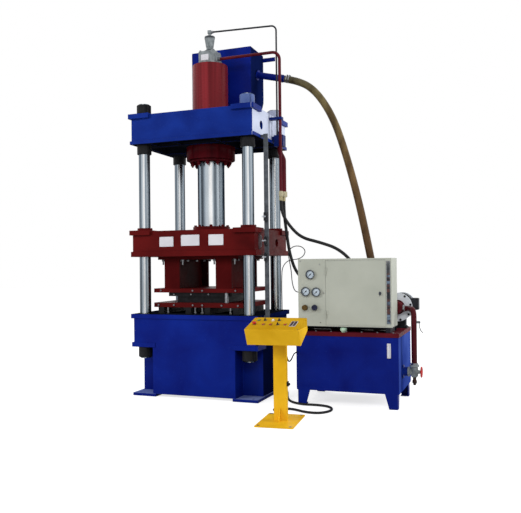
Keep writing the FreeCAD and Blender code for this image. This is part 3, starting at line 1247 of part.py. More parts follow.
# ================================================================ console
def console_stand():
    """Base plate, box post with its stiffener, a cable socket and a gland."""
    half_w = CONSOLE_BASE_W / 2
    half_d = CONSOLE_BASE_DEPTH / 2
    base = box(-half_w, half_w, -half_d, half_d, 0, CONSOLE_BASE_T)
    top = CONSOLE_BACK[1] - 60
    post = less(box(-POST_W / 2, POST_W / 2, POST_Y0, POST_Y1, CONSOLE_BASE_T - 1, top),
                [box(-POST_W / 2 + 5, POST_W / 2 - 5, POST_Y0 + 5, POST_Y1 - 5, CONSOLE_BASE_T, top + 1)])
    gusset = prism([V(-4, POST_Y0 + 1, CONSOLE_BASE_T), V(-4, POST_Y0 - 90, CONSOLE_BASE_T),
                    V(-4, POST_Y0 + 1, CONSOLE_BASE_T + 120)], V(8, 0, 0))
    socket = union([box(POST_W / 2 - 1, POST_W / 2 + 14, 8, 44, 335, 380),
                    rod(24, V(POST_W / 2 + 12, 26, 352), V(POST_W / 2 + 30, 26, 352))])
    gland = rod(FLOOR_CONDUIT_D + 8, V(0, POST_Y1 - 1, 62), V(0, POST_Y1 + 22, 62))
    clip = box(28, 52, POST_Y1 - 1, POST_Y1 + 16, 650, 664)
    bolt_x = half_w - 30
    bolt_y = half_d - 30
    holes = [rod(14, V(sx * bolt_x, sy * bolt_y, -1), V(sx * bolt_x, sy * bolt_y, CONSOLE_BASE_T + 1))
             for sx in (-1, 1) for sy in (-1, 1)]
    body = less(union([base, post, gusset, socket, gland, clip]), holes)
    return on_console(body)


PANEL_PLACES = {
    "emergency_stop": (-200.0, ROW_NEAR), "push_button_left": (-115.0, ROW_NEAR),
    "push_button_middle": (-45.0, ROW_NEAR), "selector_near": (25.0, ROW_NEAR),
    "push_button_right": (95.0, ROW_NEAR), "start_button": (-192.0, ROW_FAR),
    "selector_left": (-130.0, ROW_FAR), "selector_far": (8.0, ROW_FAR),
}
LAMP_PLACE = (-52.0, ROW_FAR)


def console_box():
    """Sloping sheet box with a bezel round every control, a lamp and a display."""
    def outline(grow):
        pts = [V(0, CONSOLE_FRONT[0], CONSOLE_FRONT[1]), V(0, CONSOLE_TOP[0], CONSOLE_TOP[1]),
               V(0, CONSOLE_BACK[0], CONSOLE_BACK[1]), V(0, CONSOLE_CHIN[0], CONSOLE_CHIN[1])]
        if grow:
            wire = Part.makePolygon(pts + pts[:1]).makeOffset2D(-grow)
            pts = [v.Point for v in wire.OrderedVertexes]
        return pts
    half = CONSOLE_W / 2
    shell = prism([p + V(-half, 0, 0) for p in outline(0)], V(CONSOLE_W, 0, 0))
    w = CONSOLE_WALL
    hollow = prism([p + V(-half + w, 0, 0) for p in outline(w)], V(CONSOLE_W - 2 * w, 0, 0))
    box_body = on_console(less(shell, [hollow]))
    bezels = [on_panel(rod(BEZEL_D, V(0, 0, -w / 2), V(0, 0, BEZEL_H)), a, s) for a, s in PANEL_PLACES.values()]
    lamp = on_panel(faceted([(0, -w / 2), (15, -w / 2), (15, 6), (11, 8), (11, 14), (6, 18), (0, 18)], V(0, 0, 0),
                            V(0, 0, 1), SMALL_SIDES), *LAMP_PLACE)
    display = on_panel(box(-31, 31, -80, 80, -w / 2, 5), 170, 185)
    neck = on_console(box(-POST_W / 2, POST_W / 2, POST_Y0, POST_Y1, CONSOLE_BACK[1] - 60, CONSOLE_BACK[1] - 30))
    body = union([box_body, lamp, display, neck] + bezels)
    holes = [on_panel(rod_hole(STEM_D + 2 * SEAT_GAP, V(0, 0, -20), V(0, 0, BEZEL_H + 1)), a, s)
             for a, s in PANEL_PLACES.values()]
    post_void = on_console(box(-POST_W / 2 + 5, POST_W / 2 - 5, POST_Y0 + 5, POST_Y1 - 5, 700, CONSOLE_BACK[1] - 10))
    return less(body, holes + [post_void])


def push_button(place):
    """Flush button whose stem slides in the panel."""
    r = bored(STEM_D / 2, SMALL_SIDES)
    button = faceted([(0, -18), (r, -18), (r, BEZEL_H + 3), (r - 1, BEZEL_H + 4), (0, BEZEL_H + 4)],
                     V(0, 0, 0), V(0, 0, 1), SMALL_SIDES)
    return on_panel(button, *place)


def emergency_stop():
    """Mushroom head on its stem."""
    profile = [(0, -18), (STEM_D / 2, -18), (STEM_D / 2, BEZEL_H + 9), (20, BEZEL_H + 10), (21, BEZEL_H + 18),
               (14, BEZEL_H + 24), (0, BEZEL_H + 24)]
    return on_panel(faceted(profile, V(0, 0, 0), V(0, 0, 1), FINE_SIDES), *PANEL_PLACES["emergency_stop"])


def selector(place):
    """Rotary switch with a bar grip."""
    stem = rod(STEM_D, V(0, 0, -18), V(0, 0, BEZEL_H + 4))
    grip = box(-4, 4, -13, 13, BEZEL_H + 2, BEZEL_H + 20)
    skirt = rod(28, V(0, 0, BEZEL_H + SEAT_GAP), V(0, 0, BEZEL_H + 5))
    return on_panel(union([stem, grip, skirt]), *place)


# ================================================================ hoses and cables
outlet_aim = (OUTLET_END - OUTLET_START).normalize()
suction_hose_route = [
    OUTLET_END, OUTLET_END + outlet_aim * 200, V(1195, 434, 3560), V(1400, 400, 3240), V(1560, 345, 2800),
    V(1720, 275, 2240), V(1840, 225, 1700), V(HOSE_FLANGE_X, HOSE_FLANGE_Y, 1240),
    V(HOSE_FLANGE_X, HOSE_FLANGE_Y, COVER_Z + HOSE_FLANGE_H)]

hose_a_route = [
    V(THICK_PIPE_X, THICK_PIPE_Y, PIPE_END_Z - PIPE_NUT_H), V(THICK_PIPE_X, THICK_PIPE_Y, 2080),
    V(THICK_PIPE_X + 30, THICK_PIPE_Y, 1850),
    V(945, 98, 1620), V(1020, 96, 1400), V(1180, 88, 1262), V(1355, 72, 1235), PORT_A + V(0, 0, 120), PORT_A]

hose_b_route = [
    V(THIN_PIPE_X, THIN_PIPE_Y, PIPE_END_Z - PIPE_NUT_H), V(THIN_PIPE_X, THIN_PIPE_Y, 2110),
    V(THIN_PIPE_X + 84, THIN_PIPE_Y + 1, 1955),
    V(1110, 8, 1800), V(1330, 12, 1742), V(1540, 20, 1668), V(1700, 32, 1520), V(1780, 48, 1330),
    PORT_B + V(0, 0, 130), PORT_B]

switch_cable_route = [
    V(700, 527, deck_top), V(700, 527, 1060), V(697, 527, 1200), V(700, 526, 1340), V(712, 512, 1455),
    V(790, 440, 1530), V(900, 340, 1553), V(1010, 225, 1556), V(1105, 125, 1590), V(1150, 62, 1650),
    V(1120, -5, 1702), V(1045, -70, 1704), V(994, -118, 1640), V(1020, -145, 1540), V(1052, -175, 1420),
    V(1068, -205, 1300), V(1105, -240, 1206), V(1160, -262, 1186), V(CAB_X0, -262, 1186)]

console_cable_route = [
    V(1306, -1161, 842), V(1306, -1161, 740), V(1304, -1147, 650), V(1287, -1060, 575), V(1258, -920, 519),
    V(1226, -740, 520), V(1200, -600, 545), V(1187, -505, 556), V(1187, -TANK_Y, 556)]

conduit_z = FLOOR_CONDUIT_D / 2 + 0.5
floor_conduit_route = [
    V(BED_W / 2 + CONDUIT_GLAND_L, CONDUIT_GLAND_Y, CONDUIT_GLAND_Z), V(850, CONDUIT_GLAND_Y, CONDUIT_GLAND_Z),
    V(925, 30, 38), V(985, -165, conduit_z + 2), V(1085, -385, conduit_z), V(1250, -500, conduit_z + 1),
    V(1430, -470, conduit_z), V(1580, -530, conduit_z + 1), V(1640, -690, conduit_z), V(1560, -850, conduit_z + 1),
    V(1400, -848, conduit_z), V(1230, -735, conduit_z + 1), V(1085, -775, conduit_z + 2), V(1075, -905, 28),
    V(1160, -990, 46), V(1252.7, -1035.3, 62), V(1264.2, -1158.8, 62)]


# ================================================================ build
def build():
    nodes = {
        "bed_frame": bed_frame(),
        "columns": columns(),
        "column_nuts": column_nuts(),
        "crown_beam": crown_beam(),
        "cylinder_barrel": cylinder_barrel(),
        "cylinder_gland": cylinder_gland(),
        "ram": ram(),
        "ram_flange": ram_flange(),
        "slide_beam": slide_beam(),
        "guide_bushes": guide_bushes(),
        "riser_frames": riser_frames(),
        "upper_die_plate": upper_die_plate(),
        "upper_mould": upper_mould(),
        "lower_die_plate": lower_die_plate(),
        "lower_tooling": lower_tooling(),
        "prefill_valve": prefill_valve(),
        "prefill_tank": prefill_tank(),
        "pipework": pipework(),
        "pipe_fittings": pipe_fittings(),
        "limit_rail": limit_rail(),
        "limit_switches": limit_switches(),
        "switch_dog": switch_dog(),
        "oil_tank": oil_tank(),
        "tank_cover": tank_cover(),
        "tank_fittings": tank_fittings(),
        "suction_valve": suction_valve(),
        "valve_handwheel": valve_handwheel(),
        "tap_lever": tap_lever(),
        "pump_unit": pump_unit(),
        "motor_body": motor_body(),
        "motor_rotor": motor_rotor(),
        "valve_manifold": valve_manifold(),
        "cabinet_shell": cabinet_shell(),
        "cabinet_door": cabinet_door(),
        "door_lock": door_lock(),
        "gauge_cases": gauge_cases(),
        "console_stand": console_stand(),
        "console_box": console_box(),
        "emergency_stop": emergency_stop(),
        "suction_hose": tube(suction_hose_route, SUCTION_HOSE_D, SMALL_SIDES, label="suction_hose"),
        "hydraulic_hose_a": tube(hose_a_route, HOSE_D, PIPE_SIDES, label="hydraulic_hose_a"),
        "hydraulic_hose_b": tube(hose_b_route, HOSE_D, PIPE_SIDES, label="hydraulic_hose_b"),
        "switch_cable": tube(switch_cable_route, SWITCH_CABLE_D, CABLE_SIDES, label="switch_cable"),
        "console_cable": tube(console_cable_route, CONSOLE_CABLE_D, CABLE_SIDES, label="console_cable"),
        "floor_conduit": tube(floor_conduit_route, FLOOR_CONDUIT_D, CABLE_SIDES, label="floor_conduit"),
    }
    for name, z in zip(("low", "middle", "high"), SWITCH_ZS):
        nodes["limit_lever_" + name] = limit_lever(z)
    for name, (x, z) in zip(("upper", "left", "right"), GAUGE_PLACES):
        nodes["gauge_needle_" + name] = gauge_needle(x, z)
    for name, (x, z) in zip(("left", "right"), KNOB_PLACES):
        nodes["panel_knob_" + name] = panel_knob(x, z)
    for name, place in PANEL_PLACES.items():
        if name.startswith("selector"):
            nodes[name] = selector(place)
        elif name.endswith("button") or name.startswith("push_button"):
            nodes[name] = push_button(place)
    return nodes


os.makedirs("parts", exist_ok=True)
for node, shape in build().items():
    if not shape.isValid() or any(s.Volume <= 0 for s in shape.Solids):
        print("check this shape:", node)
    print(node, "solids:", len(shape.Solids), "litres:", round(shape.Volume / 1e6, 3))
    shape.exportStep("parts/" + node + ".step")
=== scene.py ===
"""Four-column hydraulic press with its oil unit and operator console."""
import json
import math
import bpy
import numpy as np
from mathutils import Matrix


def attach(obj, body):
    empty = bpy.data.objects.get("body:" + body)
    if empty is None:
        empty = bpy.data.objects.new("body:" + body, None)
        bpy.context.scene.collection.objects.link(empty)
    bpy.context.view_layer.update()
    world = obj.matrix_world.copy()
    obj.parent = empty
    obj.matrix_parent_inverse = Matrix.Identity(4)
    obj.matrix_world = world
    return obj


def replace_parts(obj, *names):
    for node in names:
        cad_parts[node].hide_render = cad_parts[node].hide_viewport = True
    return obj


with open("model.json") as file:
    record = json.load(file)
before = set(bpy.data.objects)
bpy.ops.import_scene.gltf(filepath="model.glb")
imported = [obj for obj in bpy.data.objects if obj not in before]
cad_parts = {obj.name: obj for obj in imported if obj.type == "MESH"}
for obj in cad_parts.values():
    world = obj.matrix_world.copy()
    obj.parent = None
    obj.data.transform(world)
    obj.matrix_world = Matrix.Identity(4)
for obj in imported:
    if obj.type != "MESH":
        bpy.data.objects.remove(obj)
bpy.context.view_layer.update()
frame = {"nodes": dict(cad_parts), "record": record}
nodes = frame["nodes"]
scene = bpy.context.scene
scene.view_settings.view_transform = "Standard"
FRAME = "machine_frame"
UP = (0, 0, 1)
DOWN = (0, 0, -1)
FRONT = (0, -1, 0)
BACK = (0, 1, 0)
RIGHT = (1, 0, 0)


# ======== camera, floor and light
VIEW_POINT = (3.37246, -7.32493, 1.50184)
YAW, PITCH, ROLL = np.radians([20.59176, 0.65217, -0.62132])
FOCAL_PX = 672.5806
WIDE_PX = 521.0
SENSOR_WIDE = 36.0
FLOOR_REACH = 30.0
FLOOR_Z = -0.0012
WHITE = (1, 1, 1, 1)
FLOOR_GREY = (0.58, 0.58, 0.58, 1)
SKY_TINT = (0.96, 0.98, 1.0, 1)


def stand(name, data, axes=None, place=(0, 0, 0)):
    """New object in the scene, at a place if it is given its own x, y and z directions."""
    held = bpy.data.objects.new(name, data)
    scene.collection.objects.link(held)
    if axes is not None:
        pose = np.eye(4)
        pose[:3, :3] = np.transpose(axes)
        pose[:3, 3] = place
        held.matrix_world = Matrix(pose.tolist())
    return held


def aim_camera():
    """The camera looks along f, turned from +Y by yaw and raised by pitch; roll turns right and up about
    f."""
    forward = np.array([-math.sin(YAW) * math.cos(PITCH), math.cos(YAW) * math.cos(PITCH), math.sin(PITCH)])
    level = np.array([math.cos(YAW), math.sin(YAW), 0])
    upright = np.cross(level, forward)
    right = math.cos(ROLL) * level + math.sin(ROLL) * upright
    up = -math.sin(ROLL) * level + math.cos(ROLL) * upright
    lens = bpy.data.cameras.new("photo_view")
    lens.sensor_fit = "HORIZONTAL"
    lens.sensor_width = SENSOR_WIDE
    lens.lens = SENSOR_WIDE * FOCAL_PX / WIDE_PX
    lens.clip_end = 100.0
    scene.camera = stand("photo_view", lens, (right, up, -forward), VIEW_POINT)


def bare_tree(holder):
    """The emptied node tree of a world or material."""
    holder.use_nodes = True
    holder.node_tree.nodes.clear()
    return holder.node_tree


def add(tree, kind, values=None, links=None, **settings):
    """New shader node with its settings, the constants on its sockets and what feeds them."""
    made = tree.nodes.new("ShaderNode" + kind)
    for name, value in settings.items():
        setattr(made, name, value)
    for socket, value in (values or {}).items():
        made.inputs[socket].default_value = value
    for socket, source in (links or {}).items():
        tree.links.new(source.outputs[0] if hasattr(source, "outputs") else source, made.inputs[socket])
    return made


def joined(tree, kind, one, other):
    """Two values put together by the given rule."""
    return add(tree, "Math", links={0: one, 1: other}, operation=kind).outputs[0]


def set_world():
    """White for what the eye, metal and glass see; softer for the light that falls on matt surfaces."""
    scene.world = bpy.data.worlds.new("studio")
    tree = bare_tree(scene.world)
    ray = add(tree, "LightPath").outputs
    seen = joined(tree, "MAXIMUM", ray["Is Camera Ray"], ray["Is Glossy Ray"])
    seen = joined(tree, "MAXIMUM", seen, ray["Is Transmission Ray"])
    soft = add(tree, "Background", {"Color": SKY_TINT, "Strength": 0.55})
    white = add(tree, "Background", {"Color": WHITE, "Strength": 1})
    mix = add(tree, "MixShader", links={0: seen, 1: soft, 2: white})
    add(tree, "OutputWorld", links={"Surface": mix})


def soft_box(name, place, target, wide, tall, power):
    """Area lamp at a place, turned to face a target and hidden from reflections."""
    lamp = bpy.data.lights.new(name, "AREA")
    lamp.shape = "RECTANGLE"
    lamp.size = wide
    lamp.size_y = tall
    lamp.energy = power
    away = np.subtract(place, target)
    away /= np.linalg.norm(away)
    side = np.cross(UP, away)
    side /= np.linalg.norm(side)
    stand(name, lamp, (side, np.cross(away, side), away), place).visible_glossy = False


def light_studio():
    soft_box("lamp_left", (-5.5, -6.5, 4.6), (0.0, 0.0, 1.6), 2.2, 4.5, 330)
    soft_box("lamp_front", (4.5, -9.5, 6.5), (0.8, 0.0, 1.4), 4.0, 3.0, 420)
    soft_box("lamp_right", (8.0, 1.5, 4.0), (0.8, 0.0, 1.8), 2.0, 4.5, 340)
    soft_box("lamp_back", (-2.0, 7.0, 6.5), (0.3, 0.0, 2.0), 4.0, 2.5, 220)


def lay_floor():
    """Wide flat sheet just under the machine's feet, which glows for the camera alone."""
    ends = (-FLOOR_REACH, FLOOR_REACH)
    sheet = bpy.data.meshes.new("floor")
    sheet.from_pydata([(x, y, FLOOR_Z) for y in ends for x in ends], [], [(0, 1, 3, 2)])
    ground = bpy.data.materials.new("pale_floor")
    tree = bare_tree(ground)
    coat = add(tree, "BsdfDiffuse", {"Color": FLOOR_GREY})
    glow = add(tree, "Emission", {"Color": WHITE, "Strength": 0.7})
    lit = add(tree, "AddShader", links={0: coat, 1: glow})
    eye = add(tree, "LightPath").outputs["Is Camera Ray"]
    mix = add(tree, "MixShader", links={0: eye, 1: coat, 2: lit})
    add(tree, "OutputMaterial", links={"Surface": mix})
    floor = stand("floor", sheet)
    sheet.materials.append(ground)


# ======== finishes
def tone(red, green, blue):
    """Screen colour of 0 to 255 as linear light."""
    c = np.array([red, green, blue], float) / 255.0
    return tuple(np.where(c <= 0.04045, c / 12.92, ((c + 0.055) / 1.055) ** 2.4).tolist()) + (1.0,)


def start_finish(name, rough, metal=0.0, coat=0.0, coat_rough=0.05, gleam=0.5):
    """New material with its tree and shader."""
    made = bpy.data.materials.new(name)
    tree = bare_tree(made)
    shader = add(tree, "BsdfPrincipled", {"Roughness": rough, "Metallic": metal, "Coat Weight": coat,
                                          "Specular IOR Level": gleam, "Coat Roughness": coat_rough})
    add(tree, "OutputMaterial", links={"Surface": shader})
    return made, tree, shader


def wear(tree, shader, colour, rough):
    """Gives the shader its colour and roughness."""
    tree.links.new(colour, shader.inputs["Base Color"])
    tree.links.new(rough, shader.inputs["Roughness"])


def grain(tree, scale, stretch=(1, 1, 1), detail=4.0, distort=0.0):
    """Noise over the piece's own coordinates, drawn out along an axis by stretch."""
    coords = add(tree, "TexCoord").outputs["Object"]
    place = add(tree, "Mapping", {"Scale": stretch}, {"Vector": coords})
    noise = add(tree, "TexNoise", {"Scale": scale, "Detail": detail, "Distortion": distort},
                {"Vector": place})
    return noise.outputs["Fac"]


def own_axis(tree, axis):
    """The piece's own coordinate along an axis."""
    coords = add(tree, "TexCoord").outputs["Object"]
    return add(tree, "SeparateXYZ", links={0: coords}).outputs[axis]


def spread(tree, fac, low, high, start=0.3, end=0.7):
    """Carries a noise value onto low..high."""
    span = {"From Min": start, "From Max": end, "To Min": low, "To Max": high}
    return add(tree, "MapRange", span, {"Value": fac}).outputs["Result"]


def shade(tree, fac, stops):
    """Colour ramp through stops of a place and a screen colour."""
    ramp = add(tree, "ValToRGB", links={"Fac": fac})
    band = ramp.color_ramp
    while len(band.elements) < len(stops):
        band.elements.new(0.5)
    for element, (place, colour) in zip(band.elements, stops):
        element.position = place
        element.color = tone(*colour)
    return ramp.outputs["Color"]


def layer(tree, fac, under, over):
    """Second colour laid over the first where fac is 1."""
    return add(tree, "Mix", None, {"Factor": fac, "A": under, "B": over}, data_type="RGBA").outputs["Result"]


def relief(tree, shader, height, strength, distance, edge=0.0):
    """Bump of the given depth in metres, over edges broken to the given radius."""
    bump = add(tree, "Bump", {"Strength": strength, "Distance": distance}, {"Height": height})
    if edge:
        broken = add(tree, "Bevel", {"Radius": edge}, samples=4)
        tree.links.new(broken.outputs[0], bump.inputs["Normal"])
    tree.links.new(bump.outputs[0], shader.inputs["Normal"])


def slice_mask(tree, axis, middle, reach):
    """1 where the piece's own coordinate lies within reach of middle, else 0."""
    place = own_axis(tree, axis)
    return add(tree, "Math", {1: middle, 2: reach}, {0: place}, operation="COMPARE").outputs[0]


def banded(tree, colour, patches, bands):
    """Bands of another tone over the colour, each the slices (axis, middle, reach) it lies in and its deep
    and light tone; bands carry painted shade, painted highlights and real tones. Returns the colour and
    where the bands lie."""
    where = None
    for slices, deep, light in bands:
        mask = slice_mask(tree, *slices[0])
        for cut in slices[1:]:
            mask = joined(tree, "MULTIPLY", mask, slice_mask(tree, *cut))
        colour = layer(tree, mask, colour, shade(tree, patches, [(0.3, deep), (0.72, light)]))
        where = mask if where is None else joined(tree, "MAXIMUM", where, mask)
    return colour, where


def brushed_enamel(name, deep, light, rough=0.32, coat=0.0, dust=None, bands=(), gleam=0.08, run=(1, 1, 1)):
    """Brushed enamel on plate: patches of two tones, long brush marks, orange peel and dust specks; its
    bands, which carry painted shade, painted highlights and some real tones, are without gloss."""
    made, tree, shader = start_finish(name, rough, coat=coat, coat_rough=0.12, gleam=gleam)
    patches = grain(tree, 2.2, run, 5, 0.4)
    colour = shade(tree, patches, [(0.3, deep), (0.72, light)])
    if dust:
        specks = spread(tree, grain(tree, 55, detail=6), 0.0, 0.35, 0.6, 0.8)
        colour = layer(tree, specks, colour, shade(tree, patches, [(0, dust), (1, dust)]))
    colour, where = banded(tree, colour, patches, bands)
    if where is not None:
        tree.links.new(spread(tree, where, gleam, 0.0, 0.0, 1.0), shader.inputs["Specular IOR Level"])
    marks = grain(tree, 14, (1, 1, 5), 6)
    wear(tree, shader, colour, spread(tree, marks, rough - 0.08, rough + 0.12))
    relief(tree, shader, grain(tree, 160, (1, 1, 0.35), 3), 0.16, 0.0012, 0.004)
    return made


def turned_metal(name, colour, dark, rough=0.2, along=(60, 60, 1), depth=0.05):
    """Ground or polished metal with fine marks drawn out along one axis."""
    made, tree, shader = start_finish(name, rough, metal=1.0)
    marks = grain(tree, 9, along, 6)
    wear(tree, shader, shade(tree, marks, [(0.25, dark), (0.75, colour)]),
         spread(tree, grain(tree, 6, along, 5), rough * 0.7, rough * 1.5))
    relief(tree, shader, marks, depth, 0.0006)
    return made


def rough_casting(name, deep, light, rough=0.55, depth=0.35, bands=()):
    """Painted or blackened casting with a pebbled skin."""
    made, tree, shader = start_finish(name, rough, gleam=0.2)
    lumps = grain(tree, 18, detail=6, distort=0.3)
    colour = shade(tree, lumps, [(0.3, deep), (0.7, light)])
    wear(tree, shader, banded(tree, colour, lumps, bands)[0],
         spread(tree, grain(tree, 40), rough - 0.12, rough + 0.12))
    relief(tree, shader, grain(tree, 260, detail=5), depth, 0.0012)
    return made


def sheet_enamel(name, deep, light, rough=0.42, coat=0.15, bands=()):
    """Sprayed cabinet enamel: even tone with faint clouds and a fine texture."""
    made, tree, shader = start_finish(name, rough, coat=coat, coat_rough=0.25, gleam=0.2)
    clouds = grain(tree, 3, detail=5)
    colour = shade(tree, clouds, [(0.25, deep), (0.75, light)])
    wear(tree, shader, banded(tree, colour, clouds, bands)[0],
         spread(tree, grain(tree, 25, detail=5), rough - 0.05, rough + 0.1))
    relief(tree, shader, grain(tree, 520, detail=2), 0.12, 0.0008, 0.003)
    return made


def moulded(name, deep, light, rough=0.3, gleam=0.35):
    """Moulded plastic or rubber with a slight mottle and fine pits."""
    made, tree, shader = start_finish(name, rough, gleam=gleam)
    wear(tree, shader, shade(tree, grain(tree, 45), [(0.3, deep), (0.7, light)]),
         spread(tree, grain(tree, 90), rough - 0.06, rough + 0.1))
    relief(tree, shader, grain(tree, 700, detail=3), 0.15, 0.0005)
    return made


def hose_skin():
    """Amber hose full of oil: darker towards its lower end, cloudy, with a wire wound in its wall."""
    made, tree, shader = start_finish("amber_hose", 0.28, coat=0.04, coat_rough=0.1, gleam=0.15)
    drop = spread(tree, own_axis(tree, "Z"), 0.0, 1.0, 1.3, 3.8)
    amber = shade(tree, drop, [(0, (52, 34, 18)), (0.45, (74, 52, 28)), (0.8, (74, 60, 33)),
                               (1, (44, 40, 28))])
    pale = shade(tree, drop, [(0, (84, 56, 34)), (0.6, (116, 92, 56)), (0.9, (118, 106, 70)),
                              (1, (74, 70, 52))])
    clouds = spread(tree, grain(tree, 9, (1, 1, 0.4), 6, 0.5), 0.0, 0.75, 0.42, 0.68)
    wear(tree, shader, layer(tree, clouds, amber, pale), spread(tree, grain(tree, 30), 0.16, 0.32))
    relief(tree, shader, grain(tree, 120), 0.1, 0.001)
    return made


def chrome_with_painted_reflection():
    """Ground chrome with a painted reflection: turned pieces carry bright and dark bands round their axis,
    over fine marks."""
    made, tree, shader = start_finish("chrome_with_painted_reflection", 0.26, metal=1.0)
    shader.inputs["Specular Tint"].default_value = (0.2, 0.22, 0.25, 1)
    # Painted reflection: the bright and dark bands stored on the turned pieces' points set the chrome's
    # colour.
    value = add(tree, "Attribute", attribute_name="painted_reflection").outputs["Fac"]
    bright = shade(tree, value, [(0, (36, 42, 50)), (0.3, (84, 95, 106)), (0.6, (158, 172, 184)),
                                 (0.85, (222, 228, 232)), (1, (252, 252, 252))])
    marks = spread(tree, grain(tree, 4, (5, 5, 0.5), 2), 0.0, 0.3)
    dull = shade(tree, grain(tree, 3, (1, 1, 0.5)), [(0, (120, 126, 132)), (1, (150, 156, 160))])
    wear(tree, shader, layer(tree, marks, bright, dull),
         spread(tree, grain(tree, 4, (5, 5, 0.5), 2), 0.22, 0.32))
    return made


def window_pane():
    """Smoked strip with blurred shapes behind it: pale at the top, rust and steel tones lower down."""
    made, tree, shader = start_finish("smoked_pane", 0.2, gleam=0.12)
    lumps = grain(tree, 15, (0.2, 0.2, 1), 3)
    behind = shade(tree, lumps, [(0.3, (22, 24, 28)), (0.46, (44, 46, 50)), (0.53, (92, 60, 52)),
                                 (0.58, (52, 60, 74)), (0.66, (104, 120, 136))])
    top = spread(tree, own_axis(tree, "Z"), 0.0, 0.6, 1.36, 1.5)
    pale = shade(tree, lumps, [(0.3, (96, 100, 102)), (0.7, (138, 142, 142))])
    wear(tree, shader, layer(tree, top, behind, pale), spread(tree, grain(tree, 60), 0.16, 0.3))
    return made


# A band on one upright face reaches SIDE either way of it, and a band on one level face LEVEL.
SIDE = 0.0012
LEVEL = 0.0008
# Below: a pale lilac that is a painted highlight, a glare; a navy that is painted shade on side faces;
# a near-black that is painted shade on undersides and hollows, and the real blackened steel of the bed's
# deck top.
PAINTED_GLARE_LILAC = ((178, 186, 208), (206, 212, 230))
BLACKENED_AND_PAINTED_SHADE = ((12, 14, 22), (28, 30, 40))
PAINTED_SHADE_NAVY = ((8, 16, 52), (14, 26, 74))
# Crown: a painted highlight (pale lilac glare) on its right side face, painted shade on the underside of its
# bottom plate and painted shade over the inner faces of its hollow box.
CROWN_BLUE = brushed_enamel("crown_blue_enamel", (5, 26, 98), (16, 45, 130), 0.36, dust=(44, 68, 142),
                            bands=[([("X", 0.752, SIDE)], *PAINTED_GLARE_LILAC), ([("Z", 2.902, LEVEL)], *BLACKENED_AND_PAINTED_SHADE),
                                   ([("X", 0, 0.72), ("Y", 0, 0.52), ("Z", 3.06, 0.155)], *BLACKENED_AND_PAINTED_SHADE)])
# Bed: painted shade (navy) on its two right side faces and a painted highlight on the top of its foot plate;
# the deck top's near-black is the table's own blackened steel.
BED_BLUE = brushed_enamel("bed_blue_enamel", (3, 17, 100), (8, 34, 128), 0.38, dust=(36, 56, 130),
                          bands=[([("X", 0.787, SIDE)], *PAINTED_SHADE_NAVY), ([("X", 0.755, SIDE)], *PAINTED_SHADE_NAVY),
                                 ([("Z", 0.94, LEVEL)], *BLACKENED_AND_PAINTED_SHADE),
                                 ([("Z", 0.032, LEVEL)], (92, 106, 164), (122, 134, 184))])
# Tanks: painted shade (navy) on the header tank's right side, a painted highlight on the oil tank's right
# side.
TANK_BLUE = brushed_enamel("tank_blue_enamel", (3, 15, 96), (9, 32, 126), 0.36, dust=(34, 54, 130),
                           bands=[([("X", 0.434, SIDE)], *PAINTED_SHADE_NAVY),
                                  ([("X", 2.267, SIDE)], (24, 42, 118), (62, 84, 160))])
# Cylinder: its two tones drawn out into upright streaks are a painted reflection; the band round the gland
# and flange under the crown is painted shade.
RED = brushed_enamel("cylinder_red_enamel", (70, 11, 17), (130, 38, 44), 0.3, 0.06, run=(6, 6, 0.12),
                     bands=[([("Z", 2.81, 0.13)], (50, 7, 13), (74, 12, 19))])
PIPE_RED = brushed_enamel("pipe_red_enamel", (60, 10, 18), (92, 22, 32), 0.3, 0.06)
MAROON = brushed_enamel("slide_maroon_enamel", (62, 8, 9), (92, 18, 18), 0.4, dust=(52, 20, 18), gleam=0.05)
RISER_MAROON = brushed_enamel("riser_maroon_enamel", (50, 7, 8), (76, 14, 15), 0.42, dust=(36, 12, 12),
                              gleam=0.02)
LID_RED = brushed_enamel("lid_red_enamel", (64, 10, 20), (92, 20, 32), 0.36)
# Console: the darker band over its sloping top panel is painted shade.
YELLOW = brushed_enamel("console_yellow_enamel", (214, 164, 26), (240, 190, 44), 0.4, gleam=0.03,
                        bands=[([("Z", 0.9452, 0.0407)], (178, 134, 20), (202, 158, 34))])
# Right top nuts: blue paint; the pale band over the rear right nut is a painted highlight, a glare.
NUT_BLUE = brushed_enamel("nut_grey_blue_enamel", (70, 88, 140), (108, 124, 168), 0.32, 0.06,
                          bands=[([("Y", 0.445, 0.09)], (150, 158, 184), (184, 190, 208))])
LINE_BLUE = brushed_enamel("fitting_blue_enamel", (8, 22, 78), (18, 38, 104), 0.34,
                           bands=[([("Z", 2.29, 0.07)], (150, 142, 116), (196, 188, 160))])
# Cabinet: the near-black band over its base frame, under the cabinet, is painted shade.
BEIGE = sheet_enamel("cabinet_beige_enamel", (162, 165, 154), (176, 179, 168), 0.42, 0.05,
                     bands=[([("Z", 0.806, 0.031)], *BLACKENED_AND_PAINTED_SHADE)])
LABEL = sheet_enamel("anodised_label", (186, 184, 190), (212, 211, 216), 0.34)
COWL = sheet_enamel("cowl_white", (196, 202, 210), (222, 226, 232), 0.38)
DIAL = sheet_enamel("dial_white", (176, 190, 202), (198, 210, 220), 0.3)
CHROME = chrome_with_painted_reflection()
STEEL = turned_metal("bright_steel", (176, 178, 182), (104, 106, 112), 0.3, (8, 8, 8), 0.15)
BRASS = turned_metal("pale_brass", (206, 196, 158), (146, 134, 98), 0.3, (6, 6, 30), 0.15)
BRONZE = turned_metal("bush_bronze", (128, 104, 66), (70, 54, 32), 0.35, (6, 6, 30), 0.15)
GUNMETAL = turned_metal("gunmetal", (104, 108, 116), (52, 56, 64), 0.36, (5, 5, 20), 0.12)
BLACK = rough_casting("blackened_steel", (10, 10, 12), (26, 26, 29), 0.5, 0.25)
DARK = rough_casting("dark_grey_enamel", (24, 26, 30), (44, 46, 50), 0.5)
